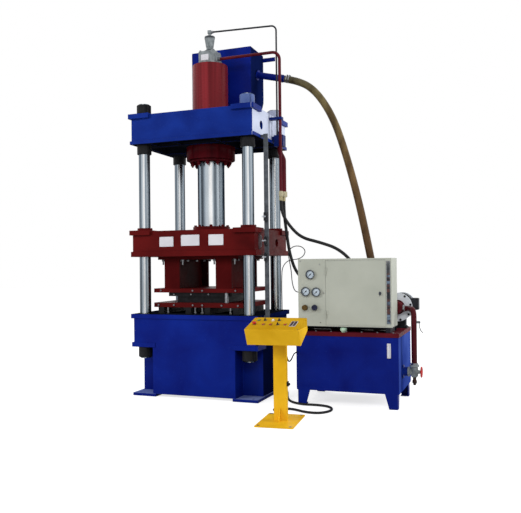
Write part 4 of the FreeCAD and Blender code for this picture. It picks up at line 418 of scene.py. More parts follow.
CAST = rough_casting("grey_casting", (92, 98, 100), (140, 146, 148), 0.45, 0.35,
                     bands=[([("Z", 4.223, 0.013)], (44, 48, 52), (72, 76, 80)),
                            ([("Z", 4.062, 0.014)], (52, 56, 58), (84, 88, 90)),
                            ([("Z", 0.266, 0.042)], (30, 20, 18), (56, 38, 32))])
RAIL_GREY = rough_casting("rail_grey_enamel", (62, 66, 72), (96, 100, 106), 0.42, 0.2)
RUBBER = moulded("black_rubber", (12, 12, 13), (26, 26, 28), 0.5)
BLACK_PLASTIC = moulded("black_plastic", (10, 10, 11), (22, 22, 24), 0.36)
RED_PLASTIC = moulded("red_plastic", (160, 24, 20), (192, 38, 32), 0.3)
GREEN_PLASTIC = moulded("green_plastic", (34, 130, 60), (62, 166, 88), 0.3)
PALE_CAP = moulded("pale_cap", (150, 184, 158), (182, 208, 186), 0.4)
SIGHT_GLASS = moulded("sight_glass", (214, 218, 232), (236, 238, 246), 0.1)
DARK_KNOB = moulded("dark_knob", (16, 20, 42), (32, 38, 66), 0.3)
LAMP_WHITE = moulded("lamp_lens", (216, 220, 224), (236, 238, 240), 0.15)
SCREEN = moulded("dark_screen", (44, 26, 28), (66, 42, 42), 0.4, gleam=0.05)
HOSE = hose_skin()
PANE = window_pane()
BLUE = brushed_enamel("royal_blue_enamel", (3, 17, 100), (9, 34, 134), 0.36, dust=(40, 60, 136))

SLOT_FINISH = {"blue_paint": BLUE, "tank_blue": TANK_BLUE, "chrome_steel": CHROME, "black_nut": BLACK,
               "red_paint": RED, "maroon_paint": MAROON, "dark_steel": DARK, "bare_steel": STEEL,
               "bronze": BRONZE, "grey_cast": CAST, "beige_paint": BEIGE, "yellow_paint": YELLOW,
               "black_plastic": BLACK_PLASTIC, "red_plastic": RED_PLASTIC, "green_plastic": GREEN_PLASTIC,
               "needle_black": BLACK_PLASTIC, "black_rubber": RUBBER, "olive_hose": HOSE}
NODE_FINISH = {"crown_beam": CROWN_BLUE, "bed_frame": BED_BLUE, "limit_rail": RAIL_GREY,
               "tank_cover": LID_RED, "riser_frames": RISER_MAROON, "pipe_fittings": LINE_BLUE,
               "tap_lever": BLACK, "limit_lever_low": COWL, "limit_lever_middle": COWL,
               "limit_lever_high": COWL}


def paint_nodes():
    """Each carried-over solid takes its own finish, or else that of its record slot."""
    for part in frame["record"]["subparts"]:
        finishes = nodes[part["node"]].data.materials
        finishes.clear()
        finishes.append(NODE_FINISH.get(part["node"], SLOT_FINISH[part["material_slot"]]))


# ======== surfaces
def skin(rings):
    """Rings of the same number of points, each closed, joined in order; both ends closed on their middle
    points. A ring runs counter-clockwise about the way from the first ring to the last, so faces point
    outwards."""
    rings = np.asarray(rings, float)
    count, around = rings.shape[:2]
    low = rings[0].mean(axis=0)
    high = rings[-1].mean(axis=0)
    points = np.concatenate([rings.reshape(-1, 3), low[None], high[None]])
    here = np.arange(around)
    after = (here + 1) % around
    level = np.arange(count - 1)[:, None] * around
    sides = np.stack([level + here, level + after, level + around + after, level + around + here], axis=2)
    first = np.full(around, count * around)
    top = (count - 1) * around
    faces = sides.reshape(-1, 4).tolist()
    faces += np.stack([first, after, here], axis=1).tolist()
    faces += np.stack([first + 1, top + here, top + after], axis=1).tolist()
    return points, faces


def unit(v):
    """The same direction at length 1."""
    return np.asarray(v, float) / np.linalg.norm(v)


def turn_steps(around):
    """Even angles round a full turn."""
    return np.linspace(0, 2 * np.pi, around, endpoint=False)


def spokes(t, one, other):
    """cos t * one + sin t * other, for each angle t and each pair of directions."""
    return np.cos(t)[:, None] * one[..., None, :] + np.sin(t)[:, None] * other[..., None, :]


def axes_for(axis, hint=UP):
    """Two unit directions square to an axis; the first is the hint's own side where it has one."""
    a = unit(axis)
    h = np.asarray(hint, float)
    if abs(a @ h) > 0.95 * np.linalg.norm(h):
        h = np.array(RIGHT if abs(a[0]) < 0.9 else BACK, float)
    e1 = unit(h - (h @ a) * a)
    return a, e1, np.cross(a, e1)


def mm(*points):
    """Profile points written in millimetres, as metres."""
    return np.array(points) / 1000


def turned(profile, place, axis, around=32):
    """Solid of revolution: point = place + along * axis + radius * (cos t * e1 + sin t * e2)."""
    radius, along = np.asarray(profile, float).T
    a, e1, e2 = axes_for(axis)
    ring = spokes(turn_steps(around), e1, e2)
    return skin(np.asarray(place, float) + along[:, None, None] * a + radius[:, None, None] * ring)


def hexagonal(flats, height, place, axis, spin=0):
    """Hexagon head: radius = half the flats / cos(angle from the nearest flat), cut by a cone at the top."""
    a, e1, e2 = axes_for(axis)
    t = turn_steps(24) + spin
    off = (t - spin + np.pi / 6) % (np.pi / 3) - np.pi / 6
    edge = flats / 2 / np.cos(off)
    ring = spokes(t, e1, e2)
    cut = np.minimum(edge, flats / 2 * 1.02)
    steps = [(edge * 0.98, 0), (edge, height * 0.03), (edge, height * 0.8), (cut, height * 0.94),
             (cut * 0.9, height), (cut * 0.35, height)]
    return skin([np.asarray(place, float) + h * a + r[:, None] * ring for r, h in steps])


def rounded(wide, tall, corner, steps=4):
    """Rectangle with round corners, counter-clockwise: corner centre + corner * (cos t, sin t)."""
    t = np.linspace(0, np.pi / 2, steps + 1)
    quarters = []
    for k, (sx, sy) in enumerate(((1, 1), (-1, 1), (-1, -1), (1, -1))):
        centre = np.array([sx * (wide / 2 - corner), sy * (tall / 2 - corner)])
        quarters.append(centre + corner * np.stack([np.cos(t + k * np.pi / 2), np.sin(t + k * np.pi / 2)],
                                                   axis=1))
    return np.concatenate(quarters)


def plate(place, out, up, wide, tall, thick, corner=0.004, edge=0.001):
    """Flat plate standing thick along out from place, with broken edges: outline shrunk by edge at both
    faces."""
    a, e_up, e_side = axes_for(out, up)
    right = -e_side
    rings = []
    for inset, along in ((edge, 0), (0, edge), (0, thick - edge), (edge, thick)):
        loop = rounded(wide - 2 * inset, tall - 2 * inset, max(corner - inset, 0.0002))
        flat = loop[:, :1] * right + loop[:, 1:] * e_up
        if np.cross(right, e_up) @ a < 0:
            flat = flat[::-1]
        rings.append(np.asarray(place, float) + along * a + flat)
    return skin(rings)


def run_frames(path):
    """Directions square to a path, carried along it with no twist about it."""
    way = np.gradient(np.asarray(path, float), axis=0)
    way /= np.linalg.norm(way, axis=1)[:, None]
    side = axes_for(way[0])[1]
    sides = []
    for w in way:
        side = unit(side - (side @ w) * w)
        sides.append(side)
    return np.array(sides), np.cross(way, sides)


def tube(path, radius, around=16):
    """Round bar along a path: point = path + radius * (cos t * side + sin t * other)."""
    side, other = run_frames(path)
    radius = np.broadcast_to(np.asarray(radius, float), (len(path),))
    ring = spokes(turn_steps(around), side, other)
    return skin(np.asarray(path, float)[:, None] + radius[:, None, None] * ring)


def shape_piece(name, shells, slot="bare_steel", finish=STEEL, node=None, body=FRAME, smooth=35):
    """One object from closed shells, riding on a body; it stands for the CAD node if one is named."""
    points = np.concatenate([s[0] for s in shells])
    faces = []
    start = 0
    for spots, sides in shells:
        faces += [[i + start for i in face] for face in sides]
        start += len(spots)
    mesh = bpy.data.meshes.new(name)
    mesh.from_pydata(points.tolist(), [], faces)
    mesh.materials.append(finish)
    mesh.shade_smooth()
    mesh.set_sharp_from_angle(angle=math.radians(smooth))
    mesh.update()
    piece = stand(name, mesh)
    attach(piece, body)
    if node:
        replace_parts(piece, node)
    return piece


# ======== hoses and cables
SUCTION_HOSE = [(0.796, 0.45, 3.758), (0.99046, 0.45, 3.71126), (1.195, 0.434, 3.56), (1.4, 0.4, 3.24),
                (1.56, 0.345, 2.8), (1.72, 0.275, 2.24), (1.84, 0.225, 1.7), (1.93, 0.2, 1.24),
                (1.93, 0.2, 0.86)]
HYDRAULIC_HOSE_A = [(0.882, 0.1, 2.23), (0.882, 0.1, 2.08), (0.912, 0.1, 1.85), (0.945, 0.098, 1.62),
                    (1.02, 0.096, 1.4), (1.18, 0.088, 1.262), (1.355, 0.072, 1.235), (1.44, 0.06, 1.16),
                    (1.44, 0.06, 1.04)]
HYDRAULIC_HOSE_B = [(0.878, 0.005, 2.23), (0.878, 0.005, 2.11), (0.962, 0.006, 1.955), (1.11, 0.008, 1.8),
                    (1.33, 0.012, 1.742), (1.54, 0.02, 1.668), (1.7, 0.032, 1.52), (1.78, 0.048, 1.33),
                    (1.8, 0.06, 1.17), (1.8, 0.06, 1.04)]
SWITCH_CABLE = [(0.7, 0.527, 0.94), (0.7, 0.527, 1.06), (0.697, 0.527, 1.2), (0.7, 0.526, 1.34),
                (0.712, 0.512, 1.455), (0.79, 0.44, 1.53), (0.9, 0.34, 1.553), (1.01, 0.225, 1.556),
                (1.105, 0.125, 1.59), (1.15, 0.062, 1.65), (1.12, -0.005, 1.702), (1.045, -0.07, 1.704),
                (0.994, -0.118, 1.64), (1.02, -0.145, 1.54), (1.052, -0.175, 1.42), (1.068, -0.205, 1.3),
                (1.105, -0.24, 1.206), (1.16, -0.262, 1.186), (1.205, -0.262, 1.186)]
CONSOLE_CABLE = [(1.306, -1.161, 0.842), (1.306, -1.161, 0.74), (1.304, -1.147, 0.65), (1.287, -1.06, 0.575),
                 (1.258, -0.92, 0.519), (1.226, -0.74, 0.52), (1.2, -0.6, 0.545), (1.187, -0.505, 0.556),
                 (1.187, -0.415, 0.556)]
FLOOR_CONDUIT = [(0.775, 0.12, 0.062), (0.85, 0.12, 0.062), (0.925, 0.03, 0.038), (0.985, -0.165, 0.0155),
                 (1.085, -0.385, 0.0135), (1.25, -0.5, 0.0145), (1.43, -0.47, 0.0135),
                 (1.58, -0.53, 0.0145), (1.64, -0.69, 0.0135), (1.56, -0.85, 0.0145),
                 (1.4, -0.848, 0.0135), (1.23, -0.735, 0.0145), (1.085, -0.775, 0.0155),
                 (1.075, -0.905, 0.028), (1.16, -0.99, 0.046), (1.2527, -1.0353, 0.062),
                 (1.2642, -1.1588, 0.062)]


def smooth_line(name, points, steps=12):
    """Open spline with the route's points as its control points."""
    line = bpy.data.curves.new(name, "CURVE")
    line.dimensions = "3D"
    line.resolution_u = steps
    run = line.splines.new("NURBS")
    run.points.add(len(points) - 1)
    run.points.foreach_set("co", np.insert(np.array(points, float), 3, 1.0, axis=1).ravel())
    run.order_u = 3
    run.use_endpoint_u = True
    return line


def free_cord(name, points, diameter):
    """Round rubber cord along its route, standing for the CAD node of the same name."""
    line = smooth_line(name + "_run", points)
    line.bevel_depth = diameter / 2
    line.bevel_resolution = 5
    line.use_fill_caps = True
    line.materials.append(RUBBER)
    cord = stand(name + "_run", line)
    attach(cord, FRAME)
    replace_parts(cord, name)


def line_points(points, steps=12):
    """Points along the route's own spline, as Blender works them out."""
    guide = stand("route_guide", smooth_line("route_guide", points, steps))
    plain = bpy.data.meshes.new_from_object(guide)
    spots = np.zeros(len(plain.vertices) * 3)
    plain.vertices.foreach_get("co", spots)
    bpy.data.objects.remove(guide)
    bpy.data.meshes.remove(plain)
    return spots.reshape(-1, 3)


def along_path(spots, gap):
    """The same path cut into even steps of about gap."""
    run = np.concatenate([[0], np.cumsum(np.linalg.norm(np.diff(spots, axis=0), axis=1))])
    even = np.linspace(0, run[-1], int(run[-1] / gap) + 1)
    return np.stack([np.interp(even, run, spots[:, k]) for k in range(3)], axis=1), even


def lay_cords():
    free_cord("hydraulic_hose_a", HYDRAULIC_HOSE_A, 0.036)
    free_cord("hydraulic_hose_b", HYDRAULIC_HOSE_B, 0.036)
    free_cord("switch_cable", SWITCH_CABLE, 0.01)
    free_cord("console_cable", CONSOLE_CABLE, 0.014)
    free_cord("floor_conduit", FLOOR_CONDUIT, 0.026)


def wind_suction_hose():
    """Hose with a wire wound in its wall: radius = wall + rib * (the upper half of cos(turns + angle))
    squared."""
    wall, rib, pitch, plain_end = 0.0428, 0.0012, 0.018, 0.05
    path, run = along_path(line_points(SUCTION_HOSE, 24), 0.0024)
    side, other = run_frames(path)
    t = turn_steps(28)
    wound = np.clip(np.cos(2 * np.pi * run[:, None] / pitch + t), 0, 1) ** 2
    ends = np.clip(np.minimum(run, run[-1] - run) / plain_end, 0, 1)[:, None]
    radius = wall + rib * wound * ends
    shell = skin(path[:, None] + radius[:, :, None] * spokes(t, side, other))
    hose = shape_piece("suction_hose_run", [shell], "olive_hose", HOSE, "suction_hose", smooth=60)


# ======== turned and bolted pieces
CORNERS = [(sx * 0.65, sy * 0.445) for sx in (-1, 1) for sy in (-1, 1)]


def loop_skin(rings):
    """Closed rings joined in order and the last one back to the first, as a ring-shaped solid's surface."""
    rings = np.asarray(rings, float)
    count, around = rings.shape[:2]
    i, j = np.meshgrid(np.arange(count), np.arange(around), indexing="ij")
    up = (i + 1) % count
    on = (j + 1) % around
    faces = np.stack([i * around + j, i * around + on, up * around + on, up * around + j], axis=2)
    return rings.reshape(-1, 3), faces.reshape(-1, 4).tolist()


def lathe(loop, place, axis, around=64, dents=None, dented=()):
    """Ring of revolution from a closed loop of (radius, along), outer wall upwards.

    Point = place + along * axis + radius * (cos t * e1 + sin t * e2); dents(t) is taken off the radius of
    the loop's points named in dented.
    """
    radius, along = np.asarray(loop, float).T
    a, e1, e2 = axes_for(axis)
    t = turn_steps(around)
    reach = np.repeat(radius[:, None], around, axis=1)
    if dents is not None:
        reach[list(dented)] -= dents(t)
    return loop_skin(np.asarray(place, float) + along[:, None, None] * a + reach[:, :, None] * spokes(t,
                                                                                                      e1,
                                                                                                      e2))


def collar(inner, outer, height, chamfer=0.001):
    """Closed loop of a plain ring with broken outer edges."""
    c = chamfer
    return [(outer - c, 0), (outer, c), (outer, height - c), (outer - c, height), (inner, height),
            (inner, 0)]


def hex_bolt(place, axis, flats, height, spin=0):
    """Washer and hexagon head standing on place along axis."""
    a = unit(axis)
    washer = turned([(flats * 0.6, 0), (flats * 0.62, 0.0006), (flats * 0.62, flats * 0.07),
                     (flats * 0.5, flats * 0.08)], place, a, 28)
    return [washer, hexagonal(flats, height, np.asarray(place, float) + a * flats * 0.075, a, spin)]


def cap_screw(place, axis, wide, height):
    """Round head with a socket: profile over the rim and down into the socket."""
    r = wide / 2
    return [turned([(r * 0.97, 0), (r, height * 0.1), (r, height * 0.8), (r * 0.88, height),
                    (r * 0.5, height), (r * 0.46, height * 0.45), (r * 0.1, height * 0.4)], place, axis,
                   24)]


def bolt_circle(count, across, first=0):
    """Places round a circle of the given diameter."""
    t = first + 2 * np.pi * np.arange(count) / count
    return np.stack([across / 2 * np.cos(t), across / 2 * np.sin(t)], axis=1)


def elbowed(points, bend, steps=9):
    """Path of a bent steel pipe: corner + bend circle, tangent to both runs at bend * tan(half the turn)."""
    points = np.asarray(points, float)
    path = [points[0]]
    for before, corner, after in zip(points, points[1:], points[2:]):
        back, ahead = unit(before - corner), unit(after - corner)
        half = (np.pi - np.arccos(np.clip(back @ ahead, -1, 1))) / 2
        middle = corner + unit(back + ahead) * bend / np.cos(half)
        first = corner + back * bend * np.tan(half) - middle
        last = corner + ahead * bend * np.tan(half) - middle
        s = np.linspace(0, 1, steps)[:, None]
        arc = np.sin((1 - s) * 2 * half) * first + np.sin(s * 2 * half) * last
        path += list(middle + arc / np.sin(2 * half))
    path.append(points[-1])
    return np.array(path)


def bead(start, end, size=0.006, pitch=0.007):
    """Welded seam: round bar whose radius ripples, size * (0.86 + 0.14 * |cos| of the run)."""
    start, end = np.asarray(start, float), np.asarray(end, float)
    length = np.linalg.norm(end - start)
    steps = max(int(length / pitch * 3), 6)
    run = np.linspace(0, 1, steps + 1)[:, None]
    radius = size * (0.86 + 0.14 * np.abs(np.cos(run[:, 0] * length / pitch * np.pi)))
    radius *= np.clip(np.minimum(run[:, 0], 1 - run[:, 0]) * length / 0.01, 0.35, 1.0)
    return tube(start + run * (end - start), radius, 7)


def seam_round(half_x, half_y, z, size=0.006):
    """Four welded seams round a rectangle."""
    c = [(-half_x, -half_y, z), (half_x, -half_y, z), (half_x, half_y, z), (-half_x, half_y, z)]
    return [bead(c[i], c[(i + 1) % 4], size) for i in range(4)]


def four_seams(start, end, size=0.005):
    """A welded seam and its mirror images across both middle planes of the press."""
    return [bead(np.multiply(start, (sx, sy, 1)), np.multiply(end, (sx, sy, 1)), size)
            for sx in (-1, 1) for sy in (-1, 1)]


# ======== press
def painted_reflection(piece, axes):
    """Painted reflection: bright and dark bands round each vertical axis:
    0.42 + 0.38 cos 2a + 0.2 cos(7a + 1) + 0.14 cos(13a)."""
    spots = np.zeros(len(piece.data.vertices) * 3)
    piece.data.vertices.foreach_get("co", spots)
    spots = spots.reshape(-1, 3)
    axes = np.asarray(axes, float)
    off = spots[:, None, :2] - axes[None]
    own = off[np.arange(len(spots)), np.argmin(np.linalg.norm(off, axis=2), axis=1)]
    a = np.arctan2(own[:, 1], own[:, 0]) + math.radians(65)
    value = 0.42 + 0.38 * np.cos(2 * a) + 0.2 * np.cos(7 * a + 1) + 0.14 * np.cos(13 * a)
    painted_reflection_value = piece.data.attributes.new("painted_reflection", "FLOAT", "POINT")
    painted_reflection_value.data.foreach_set("value", np.clip(value, 0, 1))
    return piece


def set_columns():
    """Chrome columns with broken ends and a short thread showing past each nut."""
    shells = []
    for x, y in CORNERS:
        thread = [(0.0626 + 0.0022 * (k % 2), 0.0008 + 0.0016 * k) for k in range(7)]
        profile = [(0.058, 0)] + thread + [(0.0648, 0.0125), (0.065, 0.014), (0.065, 2.936),
                                           (0.0648, 2.9375)]
        profile += [(r, 2.95 - h) for r, h in thread[::-1]] + [(0.058, 2.95)]
        shells.append(turned(profile, (x, y, 0.43), UP, 72))
    piece = shape_piece("columns_chrome", shells, "chrome_steel", CHROME, smooth=25)
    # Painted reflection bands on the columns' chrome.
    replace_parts(painted_reflection(piece, CORNERS), "columns")


def nut_slots(t):
    """Four spanner slots 24 mm wide and 9 mm deep at 45 degrees and each quarter turn."""
    off = t % (np.pi / 2) - np.pi / 4
    return np.where(np.abs(off) < 0.146, 0.009, 0)


def set_nuts():
    """Round slotted nuts: chamfered collars with a threaded bore's lead-in."""
    def nut(x, y, z, height, slotted):
        loop = [(0.079, 0), (0.083, 0.004), (0.083, height - 0.006), (0.077, height), (0.0685, height),
                (0.06505, height - 0.004), (0.06505, 0)]
        return lathe(loop, (x, y, z), UP, 128, nut_slots if slotted else None, (0, 1, 2))
    lower = [nut(x, y, 2.795, 0.107, False) for x, y in CORNERS] + [nut(x, y, 0.442, 0.12, True)
                                                                    for x, y in CORNERS]
    black_tops = [nut(x, y, 3.25, 0.12, True) for x, y in CORNERS if x < 0]
    blue_tops = [nut(x, y, 3.25, 0.12, True) for x, y in CORNERS if x > 0]
    shape_piece("column_nuts_black", lower + black_tops, "black_nut", BLACK, "column_nuts", smooth=30)
    shape_piece("column_nuts_blue", blue_tops, "black_nut", NUT_BLUE, "column_nuts", smooth=30)


GLAND_Z = 2.715
RAM_FOOT = 1.8953


def set_cylinder():
    """Barrel with its flange, open bore and chamfered top; gland ring with bolts; ram with its foot ring."""
    barrel = mm((286.5, 0), (288.5, 3), (288.5, 156), (284.5, 160), (218.5, 160), (212.5, 166),
                (212.5, 1124), (208.5, 1134), (198.5, 1138), (42, 1138), (42, 1048), (170, 1048), (170, 4),
                (172, 0))
    shape_piece("cylinder_barrel_red", [lathe(barrel, (0, 0, 2.742), UP, 112)], "red_paint", RED,
                "cylinder_barrel")
    gland = mm((250.5, 0), (251.5, 1), (251.5, 26), (250.5, 27), (169.95, 27), (169.95, 107),
               (160.05, 107), (160.05, 3), (163, 0))
    shells = [lathe(gland, (0, 0, GLAND_Z), UP, 96)]
    for k, (x, y) in enumerate(bolt_circle(12, 0.446, np.pi / 12)):
        shells += hex_bolt((x, y, GLAND_Z), DOWN, 0.04, 0.028, k * 0.7)
        shells.append(turned(mm((11.5, 20), (11.5, 43), (9.5, 46)), (x, y, GLAND_Z), DOWN, 20))
    shape_piece("cylinder_gland_red", shells, "red_paint", RED, "cylinder_gland")
    ram = mm((156, 0), (160, 4), (160, 1105), (162, 1107), (169.95, 1109), (169.95, 1251), (166, 1255))
    piece = shape_piece("ram_chrome", [turned(ram, (0, 0, RAM_FOOT), UP, 96)], "chrome_steel", CHROME,
                        body="slide")
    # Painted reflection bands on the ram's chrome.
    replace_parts(painted_reflection(piece, [(0, 0)]), "ram")
    foot = mm((217, 0), (220, 3), (220, 53), (216, 57), (163, 57), (160.05, 54), (160.05, 0))
    shells = [lathe(foot, (0, 0, RAM_FOOT), UP, 96)]
    for k, (x, y) in enumerate(bolt_circle(8, 0.382, np.pi / 8)):
        shells += hex_bolt((x, y, 1.9523), UP, 0.03, 0.018, k * 0.5)
    shape_piece("ram_flange_red", shells, "dark_steel", MAROON, "ram_flange", body="slide")


def set_bushes():
    """Flanged bronze sleeves with a wiper lip and six screws."""
    shells = []
    screws = []
    lip = mm((75, -200), (75, 0), (86.5, 0), (87.5, 1), (87.5, 24), (84.5, 28), (72, 28), (65.1, 23.5),
             (65.1, -200))
    for x, y in CORNERS:
        shells.append(lathe(lip, (x, y, 1.9053), UP, 80))
        for u, v in bolt_circle(6, 0.158, 0.3):
            screws += cap_screw((x + u, y + v, 1.9331), UP, 0.011, 0.005)
    shape_piece("guide_bushes_painted", shells, "bronze", MAROON, "guide_bushes", body="slide")
    lips = [lathe(mm((71.5, 0), (71.5, 2.4), (65.2, 2.4), (65.2, 0)), (x, y, 1.9302), UP, 64)
            for x, y in CORNERS]
    shape_piece("bush_wiper_lips", lips, "bronze", BRONZE, body="slide")
    shape_piece("bush_screws", screws, body="slide")


def weld_frame():
    """Welded seams where the plates of crown, slide and bed meet."""
    crown_x, crown_y, pad_z = 0.753, 0.559, 3.194
    crown = seam_round(crown_x, crown_y, 2.941)
    crown += four_seams((crown_x, 0.335, pad_z), (crown_x, 0.556, pad_z))
    crown += four_seams((0.517, crown_y, pad_z), (0.75, crown_y, pad_z))
    slide_x, slide_y, ledge_z = 0.756, 0.544, 1.8492
    slide = seam_round(slide_x, slide_y, 1.6615, 0.005)
    slide += four_seams((slide_x, 0.32, ledge_z), (slide_x, 0.541, ledge_z))
    slide += four_seams((0.52, slide_y, ledge_z), (0.753, slide_y, ledge_z))
    leg_x, leg_y, deck_z = 0.512, 0.311, 0.889
    bed = four_seams((leg_x, leg_y, 0.036), (leg_x, leg_y, 0.558), 0.006)
    for z in (0.033, 0.561):
        bed += four_seams((leg_x, leg_y, z), (leg_x, 0.53, z)) + four_seams((leg_x, leg_y, z),
                                                                            (0.752, leg_y, z))
    for s in (-1, 1):
        bed.append(bead((-0.75, s * 0.534, deck_z), (0.75, s * 0.534, deck_z), 0.004))
        bed.append(bead((s * 0.756, -0.53, deck_z), (s * 0.756, 0.53, deck_z), 0.004))
    shape_piece("crown_welds", crown, "blue_paint", CROWN_BLUE, smooth=60)
    shape_piece("slide_welds", slide, "maroon_paint", MAROON, body="slide", smooth=60)
    shape_piece("bed_welds", bed, "blue_paint", BED_BLUE, smooth=60)


PLATE_FRONT = -0.4
STUD_Y = 0.372
DECK_Z = 0.9402
RISER_Z = 1.5652


def set_tooling():
    """Round pins, clamp bolts of the risers, plate screws and the studs under the lower plate."""
    bright = []
    for x, y in ((0.345, -0.365), (-0.345, 0.365)):
        bright.append(turned(mm((20.5, 0), (22, 1.5), (22, 149), (19.5, 156), (16, 157.8)), (x, y, 1.067),
                             UP, 40))
    for x in (-0.5, -0.3, -0.06, 0.06, 0.3, 0.5):
        bright += cap_screw((x, PLATE_FRONT, 1.041), FRONT, 0.022, 0.012)
    for x in (-0.395, -0.045, 0.045, 0.395):
        bright.append(turned(mm((10, 0), (10, 74.5)), (x, -STUD_Y, DECK_Z), UP, 24))
        bright += hex_bolt((x, -STUD_Y, DECK_Z), UP, 0.03, 0.02)
    shape_piece("tooling_bolts", bright)
    hung = []
    for s in (-1, 1):
        for x in (0.262, 0.388):
            for y in (-0.33, -0.12, 0.12, 0.33):
                hung += hex_bolt((s * x, y, RISER_Z), DOWN, 0.03, 0.02)
        for x in (0.2, 0.452):
            hung += hex_bolt((s * x, -STUD_Y, RISER_Z), DOWN, 0.03, 0.02)
            hung.append(turned(mm((9.5, 0), (9.5, 40)), (s * x, -STUD_Y, 1.505), UP, 20))
            hung += hex_bolt((s * x, STUD_Y, RISER_Z), DOWN, 0.03, 0.02)
        for x in (0.47, -0.06):
            hung += cap_screw((s * x, PLATE_FRONT, 1.2078), FRONT, 0.02, 0.011)
    for x in (-0.33, -0.11, 0.11, 0.33):
        hung += cap_screw((x, -0.34, 1.1622), FRONT, 0.018, 0.01)
    shape_piece("riser_clamp_bolts", hung, body="slide")


SLIDE_FRONT = -0.543
LABEL_THICK = 0.0016


def hang_plates():
    """Bare riveted plates: three on the slide's front, one on the valve."""
    labels = []
    rivets = []
    for x0, x1, z0, z1 in ((-0.406, -0.227, 1.712, 1.824), (-0.131, 0.098, 1.717, 1.84),
                           (0.21, 0.39, 1.717, 1.837)):
        middle = ((x0 + x1) / 2, SLIDE_FRONT, (z0 + z1) / 2)
        labels.append(plate(middle, FRONT, UP, x1 - x0, z1 - z0, LABEL_THICK, 0.006, 0.0004))
        for x in (x0 + 0.008, x1 - 0.008):
            for z in (z0 + 0.008, z1 - 0.008):
                rivets.append(turned(mm((3.4, 0), (3.2, 1.2), (1.8, 2.1)),
                                     (x, SLIDE_FRONT - LABEL_THICK, z), FRONT, 16))
    shape_piece("bare_label_plates", labels, "bare_steel", LABEL, body="slide")
    shape_piece("label_rivets", rivets, body="slide")
    small = [plate((-0.02, -0.105, 3.965), FRONT, UP, 0.1, 0.07, 0.0012, 0.004, 0.0004)]
    shape_piece("bare_valve_plate", small, "bare_steel", LABEL)


# ======== valve, tank and pipes
PILOT_END = (0.815, 0.08)
PILOT_Z = 4.29
VALVE_AT = (2.392, -0.185, 0.362)
WHEEL_R = 0.0505


def set_valve():
    """Cast valve block, turned neck and head, square elbow and the throat to the tank."""
    shells = [plate((0, 0, 3.88), UP, BACK, 0.21, 0.21, 0.162, 0.012, 0.003),
              turned(mm((73.5, 0), (73.5, 16), (45, 20), (42, 26), (42, 66), (46, 70), (59.5, 158),
                        (60, 166), (62.5, 168), (62.5, 190), (60.5, 193), (17, 194), (16, 197), (16, 230)),
                     (0, 0, 4.042), UP, 64), turned(mm((60, 0), (60, 125)), (0, 0.104, 3.961), BACK, 56)]
    ahead = (*unit(PILOT_END), 0)
    shells.append(plate((0, 0, 4.27), UP, ahead, 0.044, 0.044, 0.04, 0.006, 0.002))
    bolts = []
    for x in (-0.085, 0.085):
        for y in (-0.085, 0.085):
            bolts += cap_screw((x, y, 4.042), UP, 0.024, 0.014)
    for x, y in bolt_circle(6, 0.122, 0.2):
        bolts += cap_screw((x, y, 4.058), UP, 0.014, 0.008)
    shape_piece("prefill_valve_cast", shells, "grey_cast", CAST, "prefill_valve")
    shape_piece("valve_bolts", bolts)


def bend_pipes():
    """Steel pipes with round bends: pilot, thin, thick, suction and delivery lines."""
    turn = unit(PILOT_END) * 0.022
    pilot = elbowed([(*turn, PILOT_Z), (*PILOT_END, PILOT_Z), (*PILOT_END, 3)], 0.06)
    thin = elbowed([(0.105, 0.005, 3.955), (0.878, 0.005, 3.955), (0.878, 0.005, 2.34)], 0.09)
    thick = elbowed([(0.84, 0.1, 2.87), (0.84, 0.1, 2.8), (0.882, 0.1, 2.72), (0.882, 0.1, 2.34)], 0.09)
    suction = elbowed([(2.255, -0.01, 1.01), (2.315, -0.01, 1.01), (*VALVE_AT[:2], 1.01),
                       (*VALVE_AT[:2], 0.435)], 0.075)
    delivery = elbowed([(2.125, -0.005, 0.96), (2.015, -0.005, 0.96), (1.93, 0.06, 0.95),
                        (1.84, 0.06, 0.95)], 0.06)
    shells = [tube(thin, 0.0175, 24), tube(thick, 0.03, 32), tube(suction, 0.029, 32),
              tube(delivery, 0.014, 20)]
    shape_piece("pipes_red", shells, "red_paint", PIPE_RED, "pipework", smooth=50)
    shape_piece("pilot_line_dark", [tube(pilot, 0.01, 18)], "red_paint", DARK, "pipework", smooth=50)
    rings = [lathe(collar(0.0176, 0.024, 0.03), (0.105, 0.005, 3.955), RIGHT, 32),
             lathe(collar(0.0102, 0.0165, 0.024), (*turn, PILOT_Z), (*turn, 0), 24),
             lathe(collar(0.0292, 0.04, 0.02, 0.002), (2.255, -0.01, 1.01), RIGHT, 40),
             lathe(collar(0.0292, 0.0385, 0.016, 0.002), (*VALVE_AT[:2], 0.436), UP, 40)]
    ferrules = [lathe(collar(0.0178, 0.0206, 0.05), (x, y, z), UP, 32) for x, y, z in ((0.882, 0.1, 2.232),
                                                                                       (0.878, 0.005,
                                                                                        2.232),
                                                                                       (1.44, 0.06, 1.001),
                                                                                       (1.8, 0.06, 1.001))]
    shape_piece("pipe_collars", rings)
    shape_piece("hose_ferrules", ferrules, "bare_steel", BRASS)


def clamp_band(place, axis, radius, wide=0.014):
    """Worm-drive hose clamp: a thin band with its screw housing."""
    a, e1, e2 = axes_for(axis)
    place = np.asarray(place, float)
    band = lathe([(radius + 0.0014, 0), (radius + 0.0014, wide), (radius, wide), (radius, 0)],
                 place - a * wide / 2, a, 56)
    spot = place + e1 * (radius + 0.001)
    house = plate(spot, e1, e2, wide * 1.1, 0.03, 0.009, 0.003, 0.0008)
    screw = hexagonal(0.008, 0.008, spot + e1 * 0.0048 + e2 * 0.0148, e2)
    return [band, house, screw]


HOSE_FOOT = (1.93, 0.2)
HOSE_R = 0.0434
FILLER = (1.69, -0.385)
SIGHT_X = 2.1695
LID_TOP = 0.778
TANK_FRONT = -0.415
GLASS_Y = -0.4258


